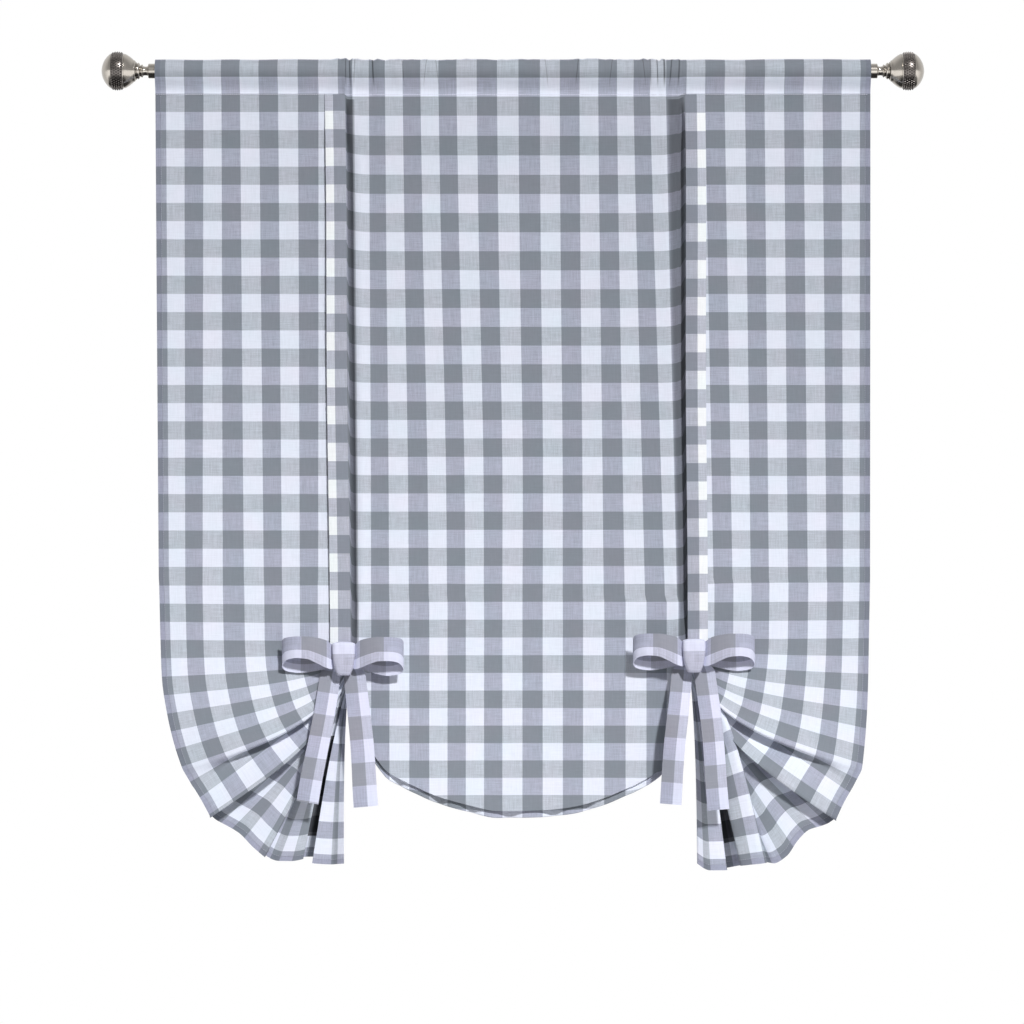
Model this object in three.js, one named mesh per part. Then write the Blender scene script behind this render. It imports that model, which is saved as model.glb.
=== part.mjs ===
// Tie-up shade on a curtain rod. Millimetres, +Z up, the front faces -Y.
// The origin is on the rod's axis, midway between the finials.
import * as THREE from 'three';
import * as BufferGeometryUtils from 'three/addons/utils/BufferGeometryUtils.js';

// ---- driving sizes ----

// The cloth is counted in check cells: across from its left edge, down from the pocket's stitch line.
const cloth = {
  thickness: 1.2,
  cellsWide: 38.2,
  wingCellTall: 27.15,
  stitchDepth: 34,
  hemCell: 57,
  fanCell: 30,
};
// Cells at which each wing ends and its return toward the centre begins.
const wingInner = { left: 9.9, right: 28.5 };
const rod = { radius: 14, length: 1065, facets: 20 };
const pocket = { clearance: 2.1, turnedEnd: 7, layerGap: 1.7, crumple: 1.3 };
const panelPlane = -1;
const recessDepth = 9;
const tieThickness = 1.6;
const seamGap = 0.4;

// Across the cloth: where each cell count lies at the stitch line and just above the bows.
// share runs 0 to 1 over the recess that lies between the wings and the centre.
const spanStations = [
  { cell: 0, top: -533.4, bow: -530.5, recess: 0 },
  { cell: 9.9, top: -251, bow: -250, recess: 0 },
  { cell: 10.2, top: -247, bow: -245, recess: 0.15 },
  { cell: 10.6, top: -239, bow: -234, recess: 1 },
  { cell: 26.85, top: 238.5, bow: 246, recess: 1 },
  { cell: 28, top: 250.5, bow: 258, recess: 0.15 },
  { cell: 28.5, top: 255.5, bow: 262, recess: 0 },
  { cell: 38.2, top: 533.4, bow: 526.5, recess: 0 },
];

// The wing below each bow fans about the knot. Each row is one line of the cloth that runs from
// the knot, round a neck below it, to the outer edge: cell is how far down the cloth it lies, out
// and down say where its ends lie from the knot, and depth is how far behind the panel.
const leftFan = [
  { cell: -3, out: 277, down: -111, depth: 0, neckOut: 28, neckDown: -111, neckDepth: 0 },
  { cell: 0, out: 277, down: -30, depth: 0, neckOut: 28, neckDown: -28, neckDepth: 0 },
  { cell: 2, out: 272, down: 25, depth: -1, neckOut: 28, neckDown: 14, neckDepth: -3 },
  { cell: 4, out: 264, down: 80, depth: -3, neckOut: 28, neckDown: 42, neckDepth: -6 },
  { cell: 6, out: 251, down: 133, depth: -4, neckOut: 28, neckDown: 62, neckDepth: -7 },
  { cell: 7.2, out: 240, down: 164, depth: -4, neckOut: 29, neckDown: 80, neckDepth: -6 },
  { cell: 7.4, out: 237, down: 169, depth: -3, neckOut: 29, neckDown: 81, neckDepth: -2 },
  { cell: 8.3, out: 226, down: 188, depth: -2, neckOut: 29, neckDown: 64, neckDepth: 2 },
  { cell: 8.5, out: 223, down: 192, depth: -2, neckOut: 29, neckDown: 63, neckDepth: 6 },
  { cell: 9.4, out: 209, down: 215, depth: -4, neckOut: 28, neckDown: 84, neckDepth: 6 },
  { cell: 10.2, out: 197, down: 237, depth: -4, neckOut: 28, neckDown: 110, neckDepth: 4 },
  { cell: 10.4, out: 197, down: 238, depth: 1, neckOut: 28, neckDown: 111, neckDepth: 9 },
  { cell: 11.6, out: 220, down: 212, depth: 5, neckOut: 29, neckDown: 80, neckDepth: 12 },
  { cell: 11.8, out: 221, down: 211, depth: 10, neckOut: 29, neckDown: 79, neckDepth: 17 },
  { cell: 13.4, out: 181, down: 245, depth: 11, neckOut: 28, neckDown: 102, neckDepth: 18 },
  { cell: 14.6, out: 157, down: 259, depth: 8, neckOut: 29, neckDown: 113, neckDepth: 18 },
  { cell: 15.6, out: 137, down: 279, depth: 7, neckOut: 30, neckDown: 117, neckDepth: 18 },
  { cell: 16.4, out: 120, down: 294, depth: 8, neckOut: 31, neckDown: 119, neckDepth: 18 },
  { cell: 16.6, out: 119, down: 295, depth: 13, neckOut: 31, neckDown: 119, neckDepth: 23 },
  { cell: 17.3, out: 129, down: 287, depth: 16, neckOut: 32, neckDown: 108, neckDepth: 26 },
  { cell: 17.5, out: 129, down: 286, depth: 20, neckOut: 32, neckDown: 107, neckDepth: 30 },
  { cell: 18.4, out: 106, down: 300, depth: 18, neckOut: 31, neckDown: 114, neckDepth: 30 },
  { cell: 19.4, out: 84, down: 302, depth: 14, neckOut: 30, neckDown: 118, neckDepth: 29 },
  { cell: 20.4, out: 63, down: 297, depth: 18, neckOut: 27, neckDown: 118, neckDepth: 31 },
  { cell: 21.3, out: 53, down: 294, depth: 32, neckOut: 24, neckDown: 116, neckDepth: 36 },
  { cell: 22.2, out: 49, down: 297, depth: 36, neckOut: 21, neckDown: 116, neckDepth: 38 },
  { cell: 23.2, out: 40, down: 303, depth: 22, neckOut: 18, neckDown: 118, neckDepth: 34 },
  { cell: 24.2, out: 29, down: 305, depth: 16, neckOut: 14, neckDown: 118, neckDepth: 32 },
  { cell: 25.2, out: 17, down: 304, depth: 15, neckOut: 10, neckDown: 118, neckDepth: 32 },
  { cell: 27, out: 1, down: 303, depth: 18, neckOut: 1, neckDown: 118, neckDepth: 34 },
];
const rightFan = [
  { cell: -3, out: 264, down: -111, depth: 0, neckOut: 30, neckDown: -111, neckDepth: 0 },
  { cell: 0, out: 263, down: -28, depth: 0, neckOut: 30, neckDown: -26, neckDepth: 0 },
  { cell: 2, out: 261, down: 25, depth: -1, neckOut: 30, neckDown: 16, neckDepth: -3 },
  { cell: 4, out: 259, down: 79, depth: -3, neckOut: 31, neckDown: 44, neckDepth: -6 },
  { cell: 6, out: 255, down: 133, depth: -4, neckOut: 32, neckDown: 64, neckDepth: -7 },
  { cell: 7.3, out: 251, down: 167, depth: -4, neckOut: 33, neckDown: 84, neckDepth: -6 },
  { cell: 7.5, out: 249, down: 172, depth: -3, neckOut: 33, neckDown: 85, neckDepth: -2 },
  { cell: 8.4, out: 240, down: 189, depth: -2, neckOut: 33, neckDown: 68, neckDepth: 2 },
  { cell: 8.6, out: 238, down: 193, depth: -2, neckOut: 33, neckDown: 67, neckDepth: 6 },
  { cell: 9.7, out: 224, down: 217, depth: -4, neckOut: 32, neckDown: 86, neckDepth: 6 },
  { cell: 10.8, out: 210, down: 246, depth: -4, neckOut: 32, neckDown: 112, neckDepth: 4 },
  { cell: 11, out: 209, down: 247, depth: 1, neckOut: 32, neckDown: 113, neckDepth: 9 },
  { cell: 12, out: 224, down: 224, depth: 6, neckOut: 33, neckDown: 84, neckDepth: 12 },
  { cell: 12.2, out: 225, down: 223, depth: 11, neckOut: 33, neckDown: 83, neckDepth: 17 },
  { cell: 12.9, out: 212, down: 241, depth: 12, neckOut: 32, neckDown: 91, neckDepth: 18 },
  { cell: 13.6, out: 197, down: 252, depth: 13, neckOut: 32, neckDown: 98, neckDepth: 20 },
  { cell: 14.6, out: 174, down: 258, depth: 12, neckOut: 32, neckDown: 106, neckDepth: 22 },
  { cell: 15.6, out: 156, down: 275, depth: 12, neckOut: 33, neckDown: 112, neckDepth: 24 },
  { cell: 16.6, out: 141, down: 297, depth: 14, neckOut: 34, neckDown: 118, neckDepth: 27 },
  { cell: 17.4, out: 122, down: 309, depth: 16, neckOut: 34, neckDown: 121, neckDepth: 30 },
  { cell: 18.2, out: 104, down: 310, depth: 16, neckOut: 33, neckDown: 122, neckDepth: 32 },
  { cell: 19.2, out: 84, down: 310, depth: 13, neckOut: 32, neckDown: 122, neckDepth: 33 },
  { cell: 20.2, out: 66, down: 311, depth: 18, neckOut: 30, neckDown: 122, neckDepth: 34 },
  { cell: 21.2, out: 56, down: 313, depth: 32, neckOut: 27, neckDown: 121, neckDepth: 38 },
  { cell: 22.2, out: 51, down: 315, depth: 36, neckOut: 24, neckDown: 121, neckDepth: 40 },
  { cell: 23.2, out: 42, down: 316, depth: 22, neckOut: 20, neckDown: 121, neckDepth: 36 },
  { cell: 24.4, out: 28, down: 316, depth: 16, neckOut: 14, neckDown: 120, neckDepth: 34 },
  { cell: 25.6, out: 15, down: 313, depth: 16, neckOut: 9, neckDown: 119, neckDepth: 34 },
  { cell: 26.4, out: 9, down: 309, depth: 17, neckOut: 6, neckDown: 118, neckDepth: 34 },
  { cell: 27, out: 5, down: 306, depth: 18, neckOut: 4, neckDown: 118, neckDepth: 35 },
];
const fanBulge = 13;

// The bow knots, and where the gathered cloth passes through each as a short bundle along X.
const knots = {
  left: { x: -251.7, z: -878.7, outward: -1, bundleOut: -251, bundleIn: -236, fan: leftFan },
  right: { x: 269.3, z: -874.3, outward: 1, bundleOut: 266, bundleIn: 252, fan: rightFan },
};
const bundle = { above: 30, below: 30, depth: 26, tightness: 5, rim: 2, gathersOver: 34 };

// Bottom edge of the centre, measured down from the left knot.
const bottomEdge = [
  { x: -236, drop: 20 },
  { x: -222, drop: 112 },
  { x: -207, drop: 143 },
  { x: -187, drop: 168 },
  { x: -155, drop: 185 },
  { x: -112, drop: 204 },
  { x: -70, drop: 216 },
  { x: -21, drop: 226 },
  { x: 40, drop: 225 },
  { x: 88, drop: 220 },
  { x: 138, drop: 206 },
  { x: 183, drop: 187 },
  { x: 206, drop: 174 },
  { x: 226, drop: 158 },
  { x: 240, drop: 126 },
  { x: 252, drop: 20 },
];
const deepestDrop = 226;

// Behind the centre's bottom edge: share is the cloth used, from the edge to the hem, rise is the
// height above the edge and depth the distance behind the front layer.
const rearFolds = [
  { share: 0, rise: 0, depth: 0 },
  { share: 0.01, rise: 0, depth: 5 },
  { share: 0.05, rise: 15, depth: 7 },
  { share: 0.07, rise: 16, depth: 12 },
  { share: 0.14, rise: -10, depth: 14 },
  { share: 0.155, rise: -11, depth: 20 },
  { share: 0.24, rise: 30, depth: 23 },
  { share: 0.4, rise: 92, depth: 26 },
  { share: 0.42, rise: 94, depth: 33 },
  { share: 0.55, rise: 52, depth: 35 },
  { share: 0.57, rise: 50, depth: 42 },
  { share: 0.75, rise: 110, depth: 43 },
  { share: 1, rise: 196, depth: 40 },
];

// Rows of the centre lie a little further apart than the wings', and closer near the bottom.
const centreRows = { first: 38.5, step: 29.1, closing: 0.0439 };

// Share of the centre's sections that lie on its front, down to the bottom edge.
const frontShare = 5 / 29;

// Raised folds beside the tucks at the rod: place across, width and height.
const rodFolds = [
  { x: -262, width: 5, height: 1.2 },
  { x: -244, width: 4, height: 1.6 },
  { x: -204, width: 4, height: 1.4 },
  { x: -60, width: 26, height: 0.8 },
  { x: 118, width: 20, height: 0.8 },
  { x: 210, width: 4, height: 1.5 },
  { x: 228, width: 4, height: 1.6 },
  { x: 246, width: 4, height: 1.4 },
  { x: 420, width: 30, height: 0.7 },
];

// Ties: the middles of their tops along X, and how far in front of or behind the rod they hang.
const tie = {
  width: 30,
  topLeft: -265.5,
  topRight: 271.8,
  frontPlane: -6.5,
  rearPlane: 14,
  hookWidth: 9,
  hookEnd: -4.4,
};
// Bows: sizes are measured from each knot's middle; front and back are places along Y.
const knotSize = { width: 34, above: 27.5, below: 23.5, front: -33, back: -7.7 };
const loopShape = { reach: 75, height: 32, top: 35, drop: 21, bulge: 17, parting: 3 };
const tail = { width: 32, topWidth: 16, gatherShare: 0.62, topBelow: 4, widensOver: 0.18 };
const tailEnds = {
  left: [
    { name: 'outer', topX: -18.7, bottomX: -64, bottomZ: -205, depth: -31 },
    { name: 'inner', topX: 17.8, bottomX: 35.6, bottomZ: -215, depth: -31 },
  ],
  right: [
    { name: 'inner', topX: -18, bottomX: -35.6, bottomZ: -219, depth: -31 },
    { name: 'outer', topX: 17.8, bottomX: 37.5, bottomZ: -221, depth: -31 },
  ],
};

// Finial profile: distance outward from the rod's end, and radius.
const finial = {
  ballRadius: 29,
  ballCentre: 57.1,
  capLength: 23.7,
  capNeck: 8.5,
  bandHalfWidth: 8.5,
  bandHeight: 0.8,
  facets: 24,
};
const neckProfile = [
  { along: 0, radius: 11 },
  { along: 11, radius: 11 },
  { along: 12, radius: 7 },
  { along: 18, radius: 6.6 },
  { along: 24, radius: 7.4 },
  { along: 26, radius: 10 },
  { along: 29, radius: 10.4 },
];

// ---- interpolation ----

const mix = (from, to, share) => from + (to - from) * share;
const clampShare = (value) => Math.min(Math.max(value, 0), 1);
const ease = (value) => {
  const share = clampShare(value);
  return share * share * (3 - 2 * share);
};

// Slope at a row of a table: level at a turning point, so that a fold stays where it is named.
function slopeAt(before, here, after) {
  const rise = here - before;
  const next = after - here;
  return rise * next <= 0 ? 0 : (2 * rise * next) / (rise + next);
}

// Every column of a table at a share of its length, smooth through its rows.
function along(table, share) {
  const place = clampShare(share) * (table.length - 1);
  const first = Math.min(Math.floor(place), table.length - 2);
  const t = place - first;
  const rowAt = (i) => table[Math.min(Math.max(i, 0), table.length - 1)];
  const [a, b, c, d] = [-1, 0, 1, 2].map((step) => rowAt(first + step));
  const found = {};
  for (const key of Object.keys(b)) {
    const start = slopeAt(a[key], b[key], c[key]);
    const end = slopeAt(b[key], c[key], d[key]);
    found[key] =
      b[key] * (1 + 2 * t) * (1 - t) ** 2 +
      start * t * (1 - t) ** 2 +
      c[key] * t ** 2 * (3 - 2 * t) +
      end * t ** 2 * (t - 1);
  }
  return found;
}

// Share of a table's length at which its column reaches a value; the column only grows.
function shareWhere(table, column, value) {
  let next = table.findIndex((row) => row[column] > value);
  if (next < 0) next = table.length - 1;
  const from = Math.max(next - 1, 0);
  const width = table[next][column] - table[from][column];
  const part = width > 0 ? (value - table[from][column]) / width : 0;
  return (from + clampShare(part)) / (table.length - 1);
}

// ---- the panel above the bows ----

const centreRowZ = (row) => -(centreRows.first + centreRows.step * row - centreRows.closing * row ** 2);
const wingRowZ = (row) => -(cloth.stitchDepth + cloth.wingCellTall * row);

// Row of the centre that hangs at a height.
function centreRowAt(z) {
  const { first, step, closing } = centreRows;
  return (step - Math.sqrt(step ** 2 - 4 * closing * (-z - first))) / (2 * closing);
}

// Place across, and share of the recess, at a cell count across and a row below the stitch line.
function acrossAt(cell, row) {
  const next = Math.max(spanStations.findIndex((station) => station.cell >= cell), 1);
  const [from, to] = [spanStations[next - 1], spanStations[next]];
  const share = (cell - from.cell) / (to.cell - from.cell);
  const fall = clampShare(row / cloth.fanCell);
  return {
    x: mix(mix(from.top, to.top, share), mix(from.bow, to.bow, share), fall),
    recess: mix(from.recess, to.recess, share),
  };
}

// Slow waves of a hanging sheet, fading in below the stitch line.
function hangingWave(x, row) {
  const fade = ease(row / 6);
  return fade * (1.6 * Math.sin(x / 61 + 0.6) + 1.1 * Math.sin(x / 97 - row / 7));
}

function upperPoint(cell, row) {
  const { x, recess } = acrossAt(cell, row);
  const depth = recess * recessDepth * ease((row - 0.4) / 4);
  const z = mix(wingRowZ(row), centreRowZ(row), recess * clampShare(row / 2));
  return new THREE.Vector3(x, panelPlane + depth + hangingWave(x, row), z);
}

// The pocket's path round the rod: turn is 0 at the turned end behind and 1 at the stitch line.
function pocketPoint(cell, turn) {
  const { x } = acrossAt(cell, 0);
  let radius = rod.radius + pocket.clearance;
  radius += pocket.crumple * (0.5 + 0.5 * Math.sin(x / 23) * Math.cos(x / 37));
  for (const fold of rodFolds) {
    radius += fold.height * Math.exp(-(((x - fold.x) / fold.width) ** 2));
  }
  const legShare = 0.3;
  const rearStitch = panelPlane + pocket.layerGap;
  if (turn < legShare) {
    const rise = turn / legShare;
    const z = mix(-cloth.stitchDepth - pocket.turnedEnd, 0, rise);
    const swing = 0.5 - 0.5 * Math.cos(Math.PI * clampShare(1 + z / cloth.stitchDepth));
    return new THREE.Vector3(x, mix(rearStitch, radius, swing), z);
  }
  if (turn > 1 - legShare) {
    const fall = (turn - 1 + legShare) / legShare;
    const swing = 0.5 + 0.5 * Math.cos(Math.PI * fall);
    return new THREE.Vector3(x, mix(panelPlane, -radius, swing), -cloth.stitchDepth * fall);
  }
  const angle = (Math.PI * (turn - legShare)) / (1 - 2 * legShare);
  return new THREE.Vector3(x, radius * Math.cos(angle), radius * Math.sin(angle));
}

// ---- the panel below the bows ----

// Where a line of the cloth passes through the knot's bundle.
function bundlePoint(knot, x, cellBelow) {
  const span = cloth.hemCell - cloth.fanCell;
  const below = clampShare(cellBelow / span);
  const packed = (1 - Math.exp(-below * bundle.tightness)) / (1 - Math.exp(-bundle.tightness));
  const height = cellBelow < 0 ? -cellBelow * cloth.wingCellTall : 0;
  const z = knot.z + height + mix(bundle.above, -bundle.below, packed);
  return new THREE.Vector3(x, panelPlane + bundle.depth * below, z);
}

// One line of a wing, from the bundle round the neck to the outer edge.
function fanLine(knot, turn) {
  const fold = along(knot.fan, turn);
  const start = bundlePoint(knot, knot.bundleOut, fold.cell);
  const place = (out, down, depth) =>
    new THREE.Vector3(knot.x + knot.outward * out, panelPlane + depth, knot.z - down);
  const neck = place(fold.neckOut, fold.neckDown, fold.neckDepth);
  const edge = place(fold.out, fold.down, fold.depth);
  const curve = new THREE.CubicBezierCurve3(start, neck, neck.clone().lerp(edge, 0.35), edge);
  return { curve, fold };
}

function fanPoint(knot, turn, outShare) {
  const { curve, fold } = fanLine(knot, turn);
  const point = curve.getPointAt(clampShare(outShare));
  point.y -= fanBulge * Math.sin(Math.PI * outShare) * ease(fold.cell / 8);
  return point;
}

// The centre at one place across: down the front to the bottom edge, then folded up behind.
function centrePoint(x, turn) {
  const nearest = shareWhere(bottomEdge, 'x', x);
  const drop = along(bottomEdge, nearest).drop;
  const topZ = centreRowZ(cloth.fanCell + leftFan[0].cell);
  const bottomZ = knots.left.z - drop;
  const plane = panelPlane + recessDepth;
  if (turn < frontShare) {
    const z = mix(topZ, bottomZ, turn / frontShare);
    const row = centreRowAt(z);
    return { point: new THREE.Vector3(x, plane + hangingWave(x, row), z), row };
  }
  const behind = along(rearFolds, (turn - frontShare) / (1 - frontShare));
  const edgeRow = centreRowAt(bottomZ);
  const fullness = drop / deepestDrop;
  const rise = behind.rise * (behind.rise < 0 ? 1 : fullness);
  const wave = hangingWave(x, edgeRow);
  const point = new THREE.Vector3(x, plane + wave + behind.depth * mix(0.7, 1, fullness), bottomZ + rise);
  return { point, row: mix(edgeRow, cloth.hemCell, behind.share) };
}

// One point of the panel below the fan's first row.
function lowerPoint(cell, turn) {
  const { x, recess } = acrossAt(cell, cloth.fanCell);
  const side = cell < cloth.cellsWide / 2 ? 'left' : 'right';
  const knot = knots[side];
  const outermost = side === 'left' ? 0 : cloth.cellsWide;
  const outShare = (cell - wingInner[side]) / (outermost - wingInner[side]);
  const fanCellHere = along(knot.fan, turn).cell;
  if (outShare >= 0) return fanPoint(knot, turn, outShare);
  const clear = Math.abs(x - knot.bundleIn) - bundle.rim;
  const settled = recess < 1 ? 0 : ease(clear / bundle.gathersOver);
  const hanging = centrePoint(x, turn);
  const cellBelow = mix(fanCellHere, hanging.row - cloth.fanCell, recess);
  const gathered = bundlePoint(knot, x, cellBelow);
  return gathered.lerp(hanging.point, settled);
}

// ---- closed sheets ----

const direction = (from, to) => to.clone().sub(from).normalize();

// A closed sheet on a grid of points: rows run along it, columns across it.
function sheetGeometry(grid, thickness) {
  const rows = grid.length;
  const columns = grid[0].length;
  const at = (i, j) => grid[Math.min(Math.max(i, 0), rows - 1)][Math.min(Math.max(j, 0), columns - 1)];
  const positions = [];
  for (const side of [-0.5, 0.5]) {
    for (let i = 0; i < rows; i += 1) {
      for (let j = 0; j < columns; j += 1) {
        const alongIt = direction(at(i - 1, j), at(i, j)).add(direction(at(i, j), at(i + 1, j)));
        const acrossIt = direction(at(i, j - 1), at(i, j)).add(direction(at(i, j), at(i, j + 1)));
        const normal = acrossIt.cross(alongIt).normalize();
        positions.push(...at(i, j).clone().addScaledVector(normal, side * thickness));
      }
    }
  }
  const index = [];
  const front = (i, j) => i * columns + j;
  const back = (i, j) => rows * columns + i * columns + j;
  const quad = (a, b, c, d) => index.push(a, b, c, a, c, d);
  for (let i = 0; i < rows - 1; i += 1) {
    for (let j = 0; j < columns - 1; j += 1) {
      quad(front(i, j), front(i + 1, j), front(i + 1, j + 1), front(i, j + 1));
      quad(back(i, j), back(i, j + 1), back(i + 1, j + 1), back(i + 1, j));
    }
  }
  for (let i = 0; i < rows - 1; i += 1) {
    quad(front(i, 0), back(i, 0), back(i + 1, 0), front(i + 1, 0));
    quad(front(i, columns - 1), front(i + 1, columns - 1), back(i + 1, columns - 1), back(i, columns - 1));
  }
  for (let j = 0; j < columns - 1; j += 1) {
    quad(front(0, j), front(0, j + 1), back(0, j + 1), back(0, j));
    quad(front(rows - 1, j), back(rows - 1, j), back(rows - 1, j + 1), front(rows - 1, j + 1));
  }
  const geometry = new THREE.BufferGeometry();
  geometry.setAttribute('position', new THREE.Float32BufferAttribute(positions, 3));
  geometry.setIndex(index);
  return geometry;
}

const steps = (count, from, to) =>
  Array.from({ length: count + 1 }, (_, i) => mix(from, to, i / count));

function panelGeometry() {
  const wingShares = [0, 0.16, 0.34, 0.52, 0.68, 0.8, 0.9, 0.96];
  const columns = [
    ...wingShares.map((share) => share * wingInner.left),
    wingInner.left,
    10.2,
    10.6,
    10.95,
    11.3,
    11.8,
    12.6,
    ...steps(7, 14, 23.4),
    24.6,
    25.3,
    25.9,
    26.4,
    26.85,
    28,
    wingInner.right,
    ...wingShares.map((share) => mix(cloth.cellsWide, wingInner.right, share)).reverse(),
  ];
  const pocketTurns = steps(10, 0, 0.999);
  const upperRows = [0, 1, 3, 6, 11, 17, 23];
  const lowerTurns = steps(leftFan.length - 1, 0, 1);
  return sheetGeometry(
    [
      ...pocketTurns.slice(0, -1).map((turn) => columns.map((cell) => pocketPoint(cell, turn))),
      ...upperRows.map((row) => columns.map((cell) => upperPoint(cell, row))),
      ...lowerTurns.map((turn) => columns.map((cell) => lowerPoint(cell, turn))),
    ],
    cloth.thickness,
  );
}

// A flat band whose middle runs through centres, each with the way its width points.
function bandGeometry(stations) {
  const grid = stations.map(({ centre, widthWay, width }) =>
    [-0.5, 0, 0.5].map((part) => centre.clone().addScaledVector(widthWay, part * width)),
  );
  return sheetGeometry(grid, tieThickness);
}

// ---- ties and bows ----

const sideways = new THREE.Vector3(1, 0, 0);
const upright = new THREE.Vector3(0, 0, 1);

function frontTieGeometry(side) {
  const knot = knots[side];
  const topX = side === 'left' ? tie.topLeft : tie.topRight;
  const topZ = -cloth.stitchDepth - 1;
  const bottomZ = knot.z + 8;
  const stations = steps(12, 0, 1).map((share) => {
    const away = ease(share / 0.1);
    const y = mix(panelPlane - cloth.thickness / 2 - tieThickness / 2 - seamGap, tie.frontPlane, away);
    const x = mix(topX, knot.x - knot.outward * 6, share);
    const centre = new THREE.Vector3(x, y, mix(topZ, bottomZ, share));
    return { centre, widthWay: sideways, width: tie.width };
  });
  return bandGeometry(stations);
}

// The hidden tie hangs behind the panel and hooks under the gathered bundle to the knot.
function rearTieGeometry(side) {
  const knot = knots[side];
  const hookX = (knot.bundleOut + knot.bundleIn) / 2;
  const topZ = -cloth.stitchDepth - pocket.turnedEnd - 2;
  const behind = panelPlane + bundle.depth + 5;
  const under = knot.z - bundle.below - 5;
  const route = [
    { x: hookX, y: panelPlane + 2, z: topZ, width: tie.width },
    { x: hookX, y: tie.rearPlane, z: topZ - 40, width: tie.width },
    { x: hookX, y: tie.rearPlane + 2, z: topZ - 250, width: tie.width },
    { x: hookX, y: tie.rearPlane + 4, z: topZ - 550, width: tie.width },
    { x: hookX, y: tie.rearPlane + 8, z: knot.z + 90, width: tie.width },
    { x: hookX, y: behind, z: knot.z + 30, width: tie.hookWidth * 2 },
    { x: hookX, y: behind, z: knot.z - 12, width: tie.hookWidth },
    { x: hookX, y: behind, z: under + 8, width: tie.hookWidth },
    { x: hookX, y: behind - 6, z: under, width: tie.hookWidth },
    { x: hookX, y: 4, z: under - 2, width: tie.hookWidth },
    { x: hookX, y: tie.hookEnd + 1, z: under + 6, width: tie.hookWidth },
    { x: hookX, y: tie.hookEnd, z: knot.z - 16, width: tie.hookWidth },
  ];
  const stations = steps(26, 0, 1).map((share) => {
    const spot = along(route, share);
    return { centre: new THREE.Vector3(spot.x, spot.y, spot.z), widthWay: sideways, width: spot.width };
  });
  return bandGeometry(stations);
}

// A loop leaves the knot high in front, turns at its tip and comes back lower behind.
function loopGeometry(side, way) {
  const knot = knots[side];
  const start = knotSize.width / 2 + seamGap;
  const middleY = (knotSize.front + knotSize.back) / 2;
  const stations = steps(18, 0, 1).map((share) => {
    const angle = Math.PI * 2 * (share - 0.5);
    const reachShare = Math.cos(angle / 2) ** 0.8;
    const swell = Math.sin(angle) * Math.sin(Math.PI * Math.min(share, 1 - share) * 1.4);
    const fall = ease((share - 0.35) / 0.3);
    const parting = loopShape.parting * Math.sign(share - 0.5) * ease(Math.abs(share - 0.5) / 0.1);
    const y = middleY - 3 + loopShape.bulge * 0.62 * swell + parting;
    const pinch = mix(0.72, 1, ease(Math.min(share, 1 - share) / 0.2));
    const z = knot.z + mix(loopShape.top, loopShape.top - loopShape.drop, fall) - loopShape.height / 2;
    const centre = new THREE.Vector3(knot.x + way * (start + loopShape.reach * reachShare), y, z);
    return { centre, widthWay: upright, width: loopShape.height * pinch };
  });
  return bandGeometry(way > 0 ? stations : stations.reverse());
}

function tailGeometry(side, end) {
  const knot = knots[side];
  const topX = knot.x + end.topX * tail.gatherShare;
  const topY = knotSize.back + tieThickness / 2 + seamGap;
  const top = new THREE.Vector3(topX, topY, knot.z - tail.topBelow);
  const bottom = new THREE.Vector3(knot.x + end.bottomX, end.depth, knot.z + end.bottomZ);
  const way = direction(top, bottom);
  const widthWay = new THREE.Vector3(-way.z, 0, way.x).normalize();
  const stations = steps(10, 0, 1).map((share) => {
    const centre = top.clone().lerp(bottom, share);
    centre.y = mix(topY, end.depth, ease(share * 2));
    return { centre, widthWay, width: mix(tail.topWidth, tail.width, ease(share / tail.widensOver)) };
  });
  return bandGeometry(stations);
}

// The knot: rounded sections stacked from its round bottom to its flat top.
function knotGeometry(side) {
  const knot = knots[side];
  const sections = [
    { z: -knotSize.below, width: 0.42, depth: 0.35 },
    { z: -knotSize.below * 0.85, width: 0.72, depth: 0.72 },
    { z: -knotSize.below * 0.4, width: 0.92, depth: 0.95 },
    { z: 0, width: 0.98, depth: 1 },
    { z: knotSize.above * 0.5, width: 1, depth: 0.98 },
    { z: knotSize.above * 0.86, width: 0.97, depth: 0.85 },
    { z: knotSize.above, width: 0.86, depth: 0.5 },
  ];
  const facets = 16;
  const middleY = (knotSize.front + knotSize.back) / 2;
  const positions = [];
  for (const section of sections) {
    for (let i = 0; i < facets; i += 1) {
      const angle = (Math.PI * 2 * i) / facets;
      const squared = (value) => Math.sign(value) * Math.abs(value) ** 0.6;
      const x = knot.x + (squared(Math.cos(angle)) * section.width * knotSize.width) / 2;
      const halfDepth = ((knotSize.back - knotSize.front) / 2) * section.depth;
      positions.push(x, middleY + squared(Math.sin(angle)) * halfDepth, knot.z + section.z);
    }
  }
  const last = sections.length - 1;
  const index = [];
  for (let level = 0; level < last; level += 1) {
    for (let i = 0; i < facets; i += 1) {
      const next = (i + 1) % facets;
      const [a, b] = [level * facets + i, level * facets + next];
      const [c, d] = [b + facets, a + facets];
      index.push(a, b, c, a, c, d);
    }
  }
  for (let i = 1; i < facets - 1; i += 1) {
    index.push(0, i + 1, i);
    index.push(last * facets, last * facets + i, last * facets + i + 1);
  }
  const geometry = new THREE.BufferGeometry();
  geometry.setAttribute('position', new THREE.Float32BufferAttribute(positions, 3));
  geometry.setIndex(index);
  return geometry;
}

// ---- rod and finials ----

function turned(profile, facets) {
  const geometry = new THREE.LatheGeometry(
    profile.map(({ along: distance, radius }) => new THREE.Vector2(radius, distance)),
    facets,
  );
  geometry.deleteAttribute('normal');
  geometry.deleteAttribute('uv');
  return BufferGeometryUtils.mergeVertices(geometry);
}

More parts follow.
